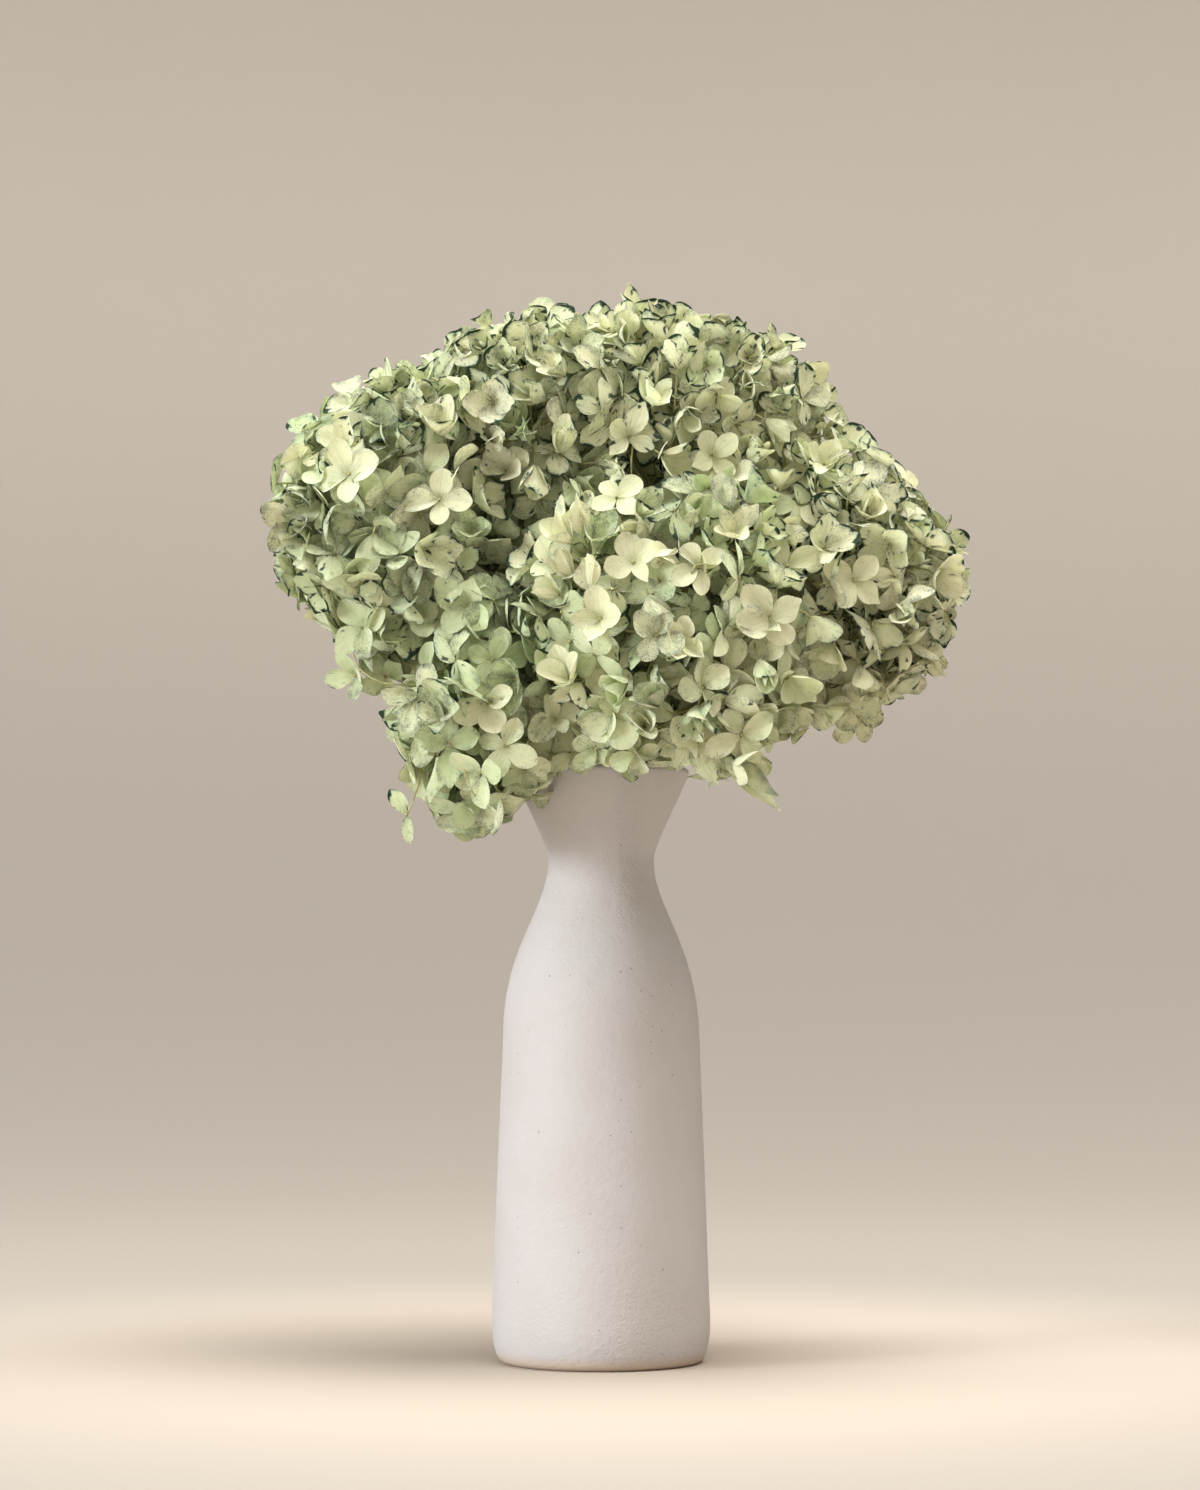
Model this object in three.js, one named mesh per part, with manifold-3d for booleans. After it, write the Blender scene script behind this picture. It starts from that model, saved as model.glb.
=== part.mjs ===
// Dried hydrangeas in a ceramic bottle vase, in millimetres, +Z up.
// The origin is the middle of the vase's flat underside, and the bouquet's front faces -Y.
//
//   vase        one hollow turned shell with a flat foot, a narrow neck and a flared lip
//   head_*      a flower head each: a small core, and the florets of four sepals that grow from it
//   stem_*      a cut woody stem each, from the vase's floor through the neck into its head
import * as THREE from "three";
import { mergeVertices } from "three/addons/utils/BufferGeometryUtils.js";
import Module from "manifold-3d";

const wasm = await Module();
wasm.setup();

// Vase
const VASE_HEIGHT = 280;
const FOOT_RADIUS = 45;
const BELLY_RADIUS = 51.4;
const BELLY_HEIGHT = 20;
const SHOULDER_RADIUS = 46.6;
const SHOULDER_HEIGHT = 157;
const NECK_RADIUS = 25;
const NECK_HEIGHT = 236;
const RIM_RADIUS = 41.7;
const WALL = 4.4;
const FLOOR = 8;
const VASE_SIDES = 32;

// Stems
const STEM_RADIUS = 2.8;
const STEM_SIDES = 6;
const STEM_STEPS = 9;
const STEM_SPREAD = 9.5;

// Florets, drawn about a third larger than life so that fewer of them cover a head
const FLORET_RADIUS = 23;
const SEPALS = 4;
const SEPAL_THICKNESS = 1.8;
const FLORET_SPACING = 39;
const FLORET_LIFT = 9.5;
const FLORET_TRIES = 40;
const ROOT_DEPTH = 7;
const CORE_INSET = 15;

// Clearances between pieces
const GAP = 0.3;
const SOCKET_CLEARANCE = 0.4;

// Edges shorter than this, that joining and cutting leave behind, are merged away.
const SMALLEST_EDGE = 0.3;

// Flower heads: centre, the half widths that the sepals' tips reach, the lean in the XZ plane
// in degrees, and the stem's place in the neck, as an angle and as a distance from the axis.
const HEADS = [
  { name: "left", seed: 5, centre: [-95, -12, 397], reach: [64, 58, 71], lean: 0, slot: 180, ring: 14.5 },
  { name: "top_left", seed: 22, centre: [-28, 0, 441], reach: [71, 60, 62], lean: 0, slot: 165, ring: 5 },
  { name: "top_right", seed: 33, centre: [37, 6, 442], reach: [73, 62, 62], lean: 0, slot: -15, ring: 5 },
  { name: "right", seed: 44, centre: [107, -8, 367], reach: [67, 62, 68], lean: 0, slot: 0, ring: 14.5 },
  { name: "front", seed: 55, centre: [32, -50, 340], reach: [77, 52, 75], lean: 0, slot: 300, ring: 14.5 },
  { name: "low_left", seed: 66, centre: [-51, -35, 311], reach: [46, 42, 67], lean: 14, slot: 240, ring: 14.5 },
  { name: "back_left", seed: 77, centre: [-56, 68, 384], reach: [64, 58, 66], lean: 0, slot: 120, ring: 14.5 },
  { name: "back_right", seed: 88, centre: [52, 70, 370], reach: [66, 60, 66], lean: 0, slot: 60, ring: 14.5 },
];

// The one floret that has come loose and hangs by its stalk from the low left head
const LOOSE_STALK = [[-66, -40, 288], [-84, -43, 287], [-91, -44, 276], [-93, -44, 263]];
const LOOSE_STALK_RADIUS = 0.8;
const LOOSE_FACE = [-0.75, -0.6, 0.28];

const ceramic = new THREE.MeshStandardMaterial({ color: 0xe9e3df, roughness: 0.8, metalness: 0 });
const sepal = new THREE.MeshStandardMaterial({ color: 0xc6cc9c, roughness: 0.85, metalness: 0 });
const bark = new THREE.MeshStandardMaterial({ color: 0x7d6a4a, roughness: 0.9, metalness: 0 });

// A seeded draw from 0 to 1, so that every build is the same.
function seededDraw(seed) {
  let state = seed >>> 0;
  return () => {
    state = (state + 0x6d2b79f5) >>> 0;
    let mixed = Math.imul(state ^ (state >>> 15), 1 | state);
    mixed = (mixed + Math.imul(mixed ^ (mixed >>> 7), 61 | mixed)) ^ mixed;
    return ((mixed ^ (mixed >>> 14)) >>> 0) / 4294967296;
  };
}

const spread = (draw, size) => (draw() * 2 - 1) * size;

// A closed three.js geometry as a solid that can be joined and cut.
function solidOf(geometry) {
  const bare = geometry.clone();
  bare.deleteAttribute("normal");
  bare.deleteAttribute("uv");
  const merged = mergeVertices(bare, 1e-3);
  return new wasm.Manifold(
    new wasm.Mesh({
      numProp: 3,
      vertProperties: new Float32Array(merged.attributes.position.array),
      triVerts: new Uint32Array(merged.index.array),
    }),
  );
}

// A solid as a named mesh, with its own origin at the point given.
function meshOf(name, solid, origin, material) {
  const { numVert, numProp, vertProperties, triVerts } = solid.getMesh();
  const points = new Float32Array(numVert * 3);
  for (let i = 0; i < numVert; i++) points.set(vertProperties.subarray(i * numProp, i * numProp + 3), i * 3);
  const geometry = new THREE.BufferGeometry();
  geometry.setAttribute("position", new THREE.BufferAttribute(points, 3));
  geometry.setIndex(new THREE.BufferAttribute(new Uint32Array(triVerts), 1));
  geometry.translate(-origin.x, -origin.y, -origin.z);
  geometry.computeVertexNormals();
  const mesh = new THREE.Mesh(geometry, material);
  mesh.name = name;
  mesh.position.copy(origin);
  return mesh;
}

// The body with the most material. Scraps that a cut leaves loose and sealed hollows are dropped.
function mainBody(solid) {
  return solid.decompose().reduce((best, next) => (next.volume() > best.volume() ? next : best));
}

// Vase -------------------------------------------------------------------------------------

// The outside from foot to lip, moved in towards the axis by inset.
function vaseSide(inset, foot) {
  const side = new THREE.Path();
  const bodyTop = SHOULDER_RADIUS - inset;
  const neck = NECK_RADIUS - inset;
  side.moveTo(foot[0], foot[1]);
  side.bezierCurveTo(foot[0] + 3.5, foot[1] + 0.6, BELLY_RADIUS - inset, foot[1] + 4, BELLY_RADIUS - inset,
    foot[1] + BELLY_HEIGHT);
  side.lineTo(bodyTop, SHOULDER_HEIGHT);
  side.bezierCurveTo(bodyTop - 1.6, SHOULDER_HEIGHT + 40, neck, NECK_HEIGHT - 22, neck, NECK_HEIGHT);
  side.bezierCurveTo(neck, NECK_HEIGHT + 8.4, RIM_RADIUS - 5 - inset, VASE_HEIGHT - 16, RIM_RADIUS - inset,
    VASE_HEIGHT - WALL / 2);
  return side;
}

function vaseProfile() {
  const outside = vaseSide(0, [FOOT_RADIUS, 0]).getPoints(4);
  const inside = vaseSide(WALL, [FOOT_RADIUS - WALL, FLOOR]).getPoints(3);
  const lip = new THREE.Path();
  lip.absarc(RIM_RADIUS - WALL / 2, VASE_HEIGHT - WALL / 2, WALL / 2, 0, Math.PI);
  const overLip = lip.getPoints(2).slice(1, -1);
  return [
    new THREE.Vector2(0, 0),
    ...outside,
    ...overLip,
    ...inside.reverse(),
    new THREE.Vector2(0, FLOOR),
  ];
}

function vase() {
  return new THREE.LatheGeometry(vaseProfile(), VASE_SIDES).rotateX(Math.PI / 2);
}

// What the flowers keep clear of: the vase, a little fatter and filled to its lip.
function vaseKeepOut() {
  const outline = vaseSide(0, [FOOT_RADIUS, 0])
    .getPoints(3)
    .map((point) => new THREE.Vector2(point.x + 3 * GAP, point.y));
  const profile = [
    new THREE.Vector2(0, 0),
    ...outline,
    new THREE.Vector2(RIM_RADIUS + 2 * GAP, VASE_HEIGHT + 2 * GAP),
    new THREE.Vector2(0, VASE_HEIGHT + 2 * GAP),
  ];
  return solidOf(new THREE.LatheGeometry(profile, VASE_SIDES).rotateX(Math.PI / 2));
}

// Stems ------------------------------------------------------------------------------------

const vector = (coordinates) => new THREE.Vector3(...coordinates);

// A stretch of another curve, from its start to the given distance short of its end.
class ShortenedCurve extends THREE.Curve {
  constructor(whole, short) {
    super();
    this.whole = whole;
    this.share = 1 - short / whole.getLength();
  }

  getPoint(t, target) {
    return this.whole.getPointAt(t * this.share, target);
  }
}

// A round bar along a curve.
function bar(curve, radius, sides, steps) {
  const section = new THREE.Shape();
  for (let i = 0; i < sides; i++) {
    const angle = (i / sides) * 2 * Math.PI;
    const x = radius * Math.cos(angle);
    const y = radius * Math.sin(angle);
    if (i === 0) section.moveTo(x, y);
    else section.lineTo(x, y);
  }
  section.closePath();
  return solidOf(new THREE.ExtrudeGeometry(section, { steps, extrudePath: curve, bevelEnabled: false }));
}

// From the vase's floor, through the neck, over the lip and into the head's core.
function stemCurve(head) {
  const angle = THREE.MathUtils.degToRad(head.slot);
  const around = (radius, height) =>
    new THREE.Vector3(radius * Math.cos(angle), radius * Math.sin(angle), height);
  const centre = vector(head.centre);
  const overLip = new THREE.Vector3(centre.x, centre.y, 0)
    .clampLength(0, head.ring + 13)
    .setZ(VASE_HEIGHT + 12);
  const tip = centre.clone().lerp(overLip, 0.3);
  return new THREE.CatmullRomCurve3(
    [
      around(head.ring + STEM_SPREAD, FLOOR + 2 * GAP),
      around(head.ring, NECK_HEIGHT - 50),
      around(head.ring, NECK_HEIGHT + 5),
      overLip,
      tip,
    ],
    false,
    "centripetal",
  );
}

const stemOf = (curve) => bar(new ShortenedCurve(curve, SOCKET_CLEARANCE), STEM_RADIUS, STEM_SIDES, STEM_STEPS);
const socketOf = (curve) => bar(curve, STEM_RADIUS + SOCKET_CLEARANCE, STEM_SIDES, STEM_STEPS);

// Flower heads -----------------------------------------------------------------------------

// From a head's own unit sphere to the size given, leant and at its centre.
function headMatrix(head, inset) {
  const size = vector(head.reach).subScalar(inset);
  const lean = new THREE.Quaternion().setFromAxisAngle(
    new THREE.Vector3(0, 1, 0),
    THREE.MathUtils.degToRad(head.lean),
  );
  return new THREE.Matrix4().compose(vector(head.centre), lean, size);
}

// How far the head's reach extends from its centre along a unit direction.
function reachAlong(head, direction) {
  const inverse = headMatrix(head, 0).invert();
  const start = vector(head.centre).applyMatrix4(inverse);
  const end = vector(head.centre).add(direction).applyMatrix4(inverse);
  return 1 / end.distanceTo(start);
}

// The planes where a head meets its neighbours, each with its normal pointing at the neighbour.
function meetingPlanes(head) {
  const centre = vector(head.centre);
  return HEADS.filter((other) => other !== head).map((other) => {
    const towards = vector(other.centre).sub(centre);
    const distance = towards.length();
    const normal = towards.clone().normalize();
    const own = reachAlong(head, normal);
    const share = own / (own + reachAlong(other, normal));
    const point = centre.clone().addScaledVector(normal, distance * share - GAP / 2);
    return new THREE.Plane().setFromNormalAndCoplanarPoint(normal, point);
  });
}

// A large block that fills the near side of a plane, around the point given.
function nearSide(plane, around) {
  const size = 400;
  const block = new THREE.BoxGeometry(size, size, size).translate(0, 0, -size / 2);
  block.applyQuaternion(new THREE.Quaternion().setFromUnitVectors(new THREE.Vector3(0, 0, 1), plane.normal));
  const foot = plane.projectPoint(around, new THREE.Vector3());
  return block.translate(foot.x, foot.y, foot.z);
}

// A floret of four broad sepals as one thin blade, its edge cut into rounded lobes. Its face
// looks along +Z, its sepals rise by the lift given, and a pointed root goes down from its middle.
function floretGeometry(radius, lift, draw) {
  const outline = [
    { turn: -45, out: 0.27, fold: 0 },
    { turn: -29, out: 0.78, fold: 1.6 },
    { turn: 0, out: 1, fold: 0 },
    { turn: 29, out: 0.78, fold: 1.6 },
  ];
  const middleOut = 0.6;
  const rise = (out) => 0.5 + lift * out ** 1.3;
  const points = [];
  const addPoint = (turn, out, offset) => {
    const angle = THREE.MathUtils.degToRad(turn);
    points.push(out * radius * Math.cos(angle), out * radius * Math.sin(angle), rise(out) + offset);
    return points.length / 3 - 1;
  };
  const centre = addPoint(0, 0, 0);
  const root = addPoint(0, 0, -ROOT_DEPTH);
  const rim = [];
  const middles = [];
  for (let i = 0; i < SEPALS; i++) {
    const start = (i * 360) / SEPALS + spread(draw, 4);
    const length = 1 + spread(draw, 0.09);
    const droop = spread(draw, 1.6);
    for (const { turn, out, fold } of outline) {
      rim.push(addPoint(start + turn, out > 0.5 ? out * length : out, fold + droop * out));
    }
    const middle = addPoint(start, middleOut, droop * middleOut);
    const middleBelow = addPoint(start, middleOut, droop * middleOut - SEPAL_THICKNESS);
    middles.push([middle, middleBelow]);
  }
  const faces = [];
  middles.forEach(([middle, middleBelow], i) => {
    const first = i * outline.length;
    const edge = [...outline.keys(), outline.length].map((step) => rim[(first + step) % rim.length]);
    const above = [centre, ...edge];
    above.forEach((point, j) => faces.push(middle, point, above[(j + 1) % above.length]));
    edge.forEach((point, j) => faces.push(middleBelow, edge[(j + 1) % edge.length], point));
    faces.push(root, edge.at(-1), edge[0]);
  });
  const geometry = new THREE.BufferGeometry();
  geometry.setAttribute("position", new THREE.Float32BufferAttribute(points, 3));
  geometry.setIndex(faces);
  return geometry;
}

// Evenly spread directions, by the golden angle.
function evenDirections(count) {
  const goldenAngle = Math.PI * (3 - Math.sqrt(5));
  return Array.from({ length: count }, (_, i) => {
    const z = 1 - (2 * i + 1) / count;
    const level = Math.sqrt(1 - z * z);
    return new THREE.Vector3(level * Math.cos(i * goldenAngle), level * Math.sin(i * goldenAngle), z);
  });
}

// How far the furthest point of a geometry is beyond any of the planes.
function beyondPlanes(geometry, planes) {
  const points = geometry.attributes.position;
  const point = new THREE.Vector3();
  let furthest = 0;
  for (let i = 0; i < points.count; i++) {
    point.fromBufferAttribute(points, i);
    for (const plane of planes) furthest = Math.max(furthest, plane.distanceToPoint(point));
  }
  return furthest;
}

// A floret on its root, the best of a few seeded ways to turn it: the one that is caught least
// in the florets already set, and that reaches least beyond the head's planes.
function setFloret(root, facing, planes, others, draw) {
  let best = { cost: Infinity };
  for (let i = 0; i < FLORET_TRIES && best.cost > 0.5; i++) {
    const radius = FLORET_RADIUS * (1.02 - (0.25 * i) / FLORET_TRIES + spread(draw, 0.04));
    const geometry = floretGeometry(radius, FLORET_LIFT * (1 + spread(draw, 0.45)), draw);
    geometry.rotateZ(draw() * 2 * Math.PI);
    const tilt = new THREE.Vector3(spread(draw, 0.25), spread(draw, 0.25), spread(draw, 0.25));
    const face = tilt.add(facing).normalize();
    geometry.applyQuaternion(new THREE.Quaternion().setFromUnitVectors(new THREE.Vector3(0, 0, 1), face));
    geometry.translate(root.x, root.y, root.z);
    const solid = solidOf(geometry);
    const cost = solid.intersect(others).volume() + 2 * beyondPlanes(geometry, planes);
    if (cost < best.cost) best = { cost, solid };
  }
  return best.solid;
}

// The solid florets that grow from a head's core. Those near a neighbouring head lean away from
// it, and none grow where the core meets the neighbour or above the vase's mouth.
function floretsOf(head, planes) {
  const draw = seededDraw(head.seed);
  const toCore = headMatrix(head, CORE_INSET);
  const toNormal = new THREE.Matrix3().getNormalMatrix(toCore);
  const meanRadius = (head.reach[0] + head.reach[1] + head.reach[2]) / 3 - CORE_INSET / 2;
  const count = Math.round((4 * Math.PI * meanRadius ** 2) / (0.87 * FLORET_SPACING ** 2));
  const towardsMouth = new THREE.Vector3(0, 0, VASE_HEIGHT).sub(vector(head.centre)).normalize();
  let florets = wasm.Manifold.union([]);
  for (const direction of evenDirections(count)) {
    const root = direction.clone().applyMatrix4(toCore);
    const facing = direction.clone().applyMatrix3(toNormal).normalize();
    const room = Math.min(...planes.map((plane) => -plane.distanceToPoint(root)));
    if (room < 0.2 * FLORET_RADIUS || facing.dot(towardsMouth) > 0.93) continue;
    for (const plane of planes) {
      const near = 1 + plane.distanceToPoint(root) / FLORET_RADIUS;
      if (near > 0) facing.addScaledVector(plane.normal, -0.8 * near);
    }
    florets = florets.add(setFloret(root, facing.normalize(), planes, florets, draw));
  }
  return florets;
}

// The loose floret, its face turned aside, and the thin stalk that it hangs by.
function looseFloret(draw) {
  const stalk = new THREE.CatmullRomCurve3(LOOSE_STALK.map(vector), false, "centripetal");
  const end = vector(LOOSE_STALK.at(-1));
  const floret = floretGeometry(FLORET_RADIUS * 0.55, FLORET_LIFT / 2, draw);
  floret.translate(0, 0, ROOT_DEPTH);
  floret.applyQuaternion(
    new THREE.Quaternion().setFromUnitVectors(new THREE.Vector3(0, 0, 1), vector(LOOSE_FACE).normalize()),
  );
  return [bar(stalk, LOOSE_STALK_RADIUS, 4, 6), solidOf(floret.translate(end.x, end.y, end.z))];
}

function headSolid(head, keepOut, sockets) {
  const planes = meetingPlanes(head);
  const core = solidOf(new THREE.IcosahedronGeometry(1, 1).applyMatrix4(headMatrix(head, CORE_INSET)));
  let solid = core.add(floretsOf(head, planes));
  for (const plane of planes) solid = solid.intersect(solidOf(nearSide(plane, vector(head.centre))));
  if (head.name === "low_left") {
    for (const piece of looseFloret(seededDraw(head.seed + 1))) solid = solid.add(piece);
  }
  solid = solid.subtract(keepOut);
  for (const socket of sockets) solid = solid.subtract(socket);
  return mainBody(solid.simplify(SMALLEST_EDGE));
}

// Assembly ---------------------------------------------------------------------------------

const arrangement = new THREE.Group();
arrangement.name = "hydrangeas_in_a_vase";

const vaseMesh = new THREE.Mesh(vase(), ceramic);
vaseMesh.name = "vase";
arrangement.add(vaseMesh);

const curves = HEADS.map(stemCurve);
const sockets = curves.map(socketOf);
const keepOut = vaseKeepOut();
const flowers = new THREE.Group();
HEADS.forEach((head, i) => {
  flowers.add(meshOf(`head_${head.name}`, headSolid(head, keepOut, sockets), vector(head.centre), sepal));
  flowers.add(meshOf(`stem_${head.name}`, stemOf(curves[i]), curves[i].getPoint(0), bark));
});
arrangement.add(flowers);

export default arrangement;
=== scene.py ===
"""Dried hydrangeas in a ceramic bottle vase.

Builds the vase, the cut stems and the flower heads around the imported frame, and a plain pale
studio for them. Lengths are in metres where nothing says mm. The front of the bunch faces -Y.
"""

import math

import bpy
import numpy as np
from bpy.props import FloatProperty, FloatVectorProperty, IntProperty, PointerProperty
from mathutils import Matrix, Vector


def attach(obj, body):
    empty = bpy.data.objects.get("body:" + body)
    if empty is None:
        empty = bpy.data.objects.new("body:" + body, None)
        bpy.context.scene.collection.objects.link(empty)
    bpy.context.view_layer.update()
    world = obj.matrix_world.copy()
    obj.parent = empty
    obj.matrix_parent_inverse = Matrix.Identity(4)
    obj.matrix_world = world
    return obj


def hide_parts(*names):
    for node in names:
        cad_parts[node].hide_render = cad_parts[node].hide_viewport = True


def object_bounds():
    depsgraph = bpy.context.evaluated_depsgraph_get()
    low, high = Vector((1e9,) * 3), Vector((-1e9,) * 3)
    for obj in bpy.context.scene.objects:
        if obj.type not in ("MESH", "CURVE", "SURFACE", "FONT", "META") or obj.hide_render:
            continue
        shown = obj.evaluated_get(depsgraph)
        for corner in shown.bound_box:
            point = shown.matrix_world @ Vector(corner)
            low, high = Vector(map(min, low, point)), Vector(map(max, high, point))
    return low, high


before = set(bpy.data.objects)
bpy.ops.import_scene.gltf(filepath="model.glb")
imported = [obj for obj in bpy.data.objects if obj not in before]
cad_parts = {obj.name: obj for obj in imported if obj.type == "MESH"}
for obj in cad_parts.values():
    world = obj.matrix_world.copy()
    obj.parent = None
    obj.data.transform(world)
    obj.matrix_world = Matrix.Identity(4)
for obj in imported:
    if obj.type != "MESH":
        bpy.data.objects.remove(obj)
CAD_BOX = [list(corner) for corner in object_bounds()]

bl_info = {
    "name": "Hydrangeas in a vase",
    "version": (1, 0, 0),
    "blender": (4, 5, 0),
    "location": "View3D > Sidebar > Hydrangeas",
    "description": "Builds dried hydrangea heads in a ceramic bottle vase",
    "category": "Add Mesh",
}

MM = 0.001
STEM_SEED, MARKED_SEED, LONE_SEED, LAYER_SEED, BRANCH_SEED = 500, 9000, 31, 1000, 77

# The flower heads, in mm and degrees: centre, the half widths that the sepals reach, lean in the
# XZ plane, the stem's bearing and distance from the axis in the neck, the look (how green, how
# speckled, how dark-edged), how far the florets face down, and the size of their sepals.
# The looks are partly painted light and shade: the front head is greener, and so darker, partly as painted
# shade, and the right and top right heads are less green, and so paler, partly as painted light.
HEADS = {
    "left": dict(centre=(-95, -12, 397), reach=(64, 58, 71), lean=0, slot=180, ring=14.5,
                 look=(0.36, 0.66, 0.72), droop=0.42, size=1.16),
    "top_left": dict(centre=(-28, 0, 441), reach=(71, 60, 62), lean=0, slot=165, ring=5,
                     look=(0.28, 0.58, 0.86), droop=0.0, size=1.06),
    "top_right": dict(centre=(37, 6, 442), reach=(73, 62, 62), lean=0, slot=-15, ring=5,
                      look=(0.16, 0.56, 0.88), droop=0.0, size=1.03),
    "right": dict(centre=(107, -8, 367), reach=(67, 62, 68), lean=0, slot=0, ring=14.5,
                  look=(0.12, 0.52, 0.74), droop=0.12, size=1.06),
    "front": dict(centre=(32, -50, 340), reach=(77, 52, 75), lean=0, slot=300, ring=14.5,
                  look=(0.38, 0.54, 0.54), droop=-0.15, size=1.02),
    "low_left": dict(centre=(-51, -35, 311), reach=(46, 42, 67), lean=14, slot=240, ring=14.5,
                     look=(0.52, 0.62, 0.48), droop=0.25, size=1.12),
    "back_left": dict(centre=(-56, 68, 384), reach=(64, 58, 66), lean=0, slot=120, ring=14.5,
                      look=(0.4, 0.5, 0.55), droop=0.12, size=1.06),
    "back_right": dict(centre=(52, 70, 370), reach=(66, 60, 66), lean=0, slot=60, ring=14.5,
                       look=(0.25, 0.48, 0.55), droop=0.12, size=1.06),
}

# Layers of florets in a head, from the outside in: depth below the reach and spacing, in mm, and
# how many grid lines make a sepal.
LAYERS = ((8, 17.4, 8), (15, 18.6, 7), (24, 22, 6), (34, 27, 5))

# Heads that grow into each other without a valley between them.
JOINED_HEADS = (
    {"top_left", "top_right"},
    {"top_right", "front"},
    {"top_right", "right"},
    {"front", "right"},
    {"back_left", "back_right"},
)

# The bunch's edge as the front view shows it, in the plane of the vase's axis: across, the lowest
# and the highest that a sepal reaches there, in mm.
FRONT_EDGE = (
    (-164, 392, 408), (-158, 380, 420), (-140, 357, 443), (-120, 323, 459), (-104, 300, 476),
    (-92, 274, 479), (-80, 254, 482), (-60, 247, 494), (-46, 252, 500), (-34, 268, 502),
    (-14, 282, 504), (14, 282, 510), (44, 284, 505), (60, 275, 501), (74, 268, 498),
    (84, 276, 493), (92, 294, 488), (110, 297, 462), (130, 300, 430), (150, 319, 416),
    (164, 330, 402), (176, 360, 384),
)

# Openings between the heads where the front view sees deep inside: across, up, radius, in mm, and
# through how many layers.
OPENINGS = ((20, 418, 8, 2), (-83, 335, 6, 4), (-72, 277, 5, 4))

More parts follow.
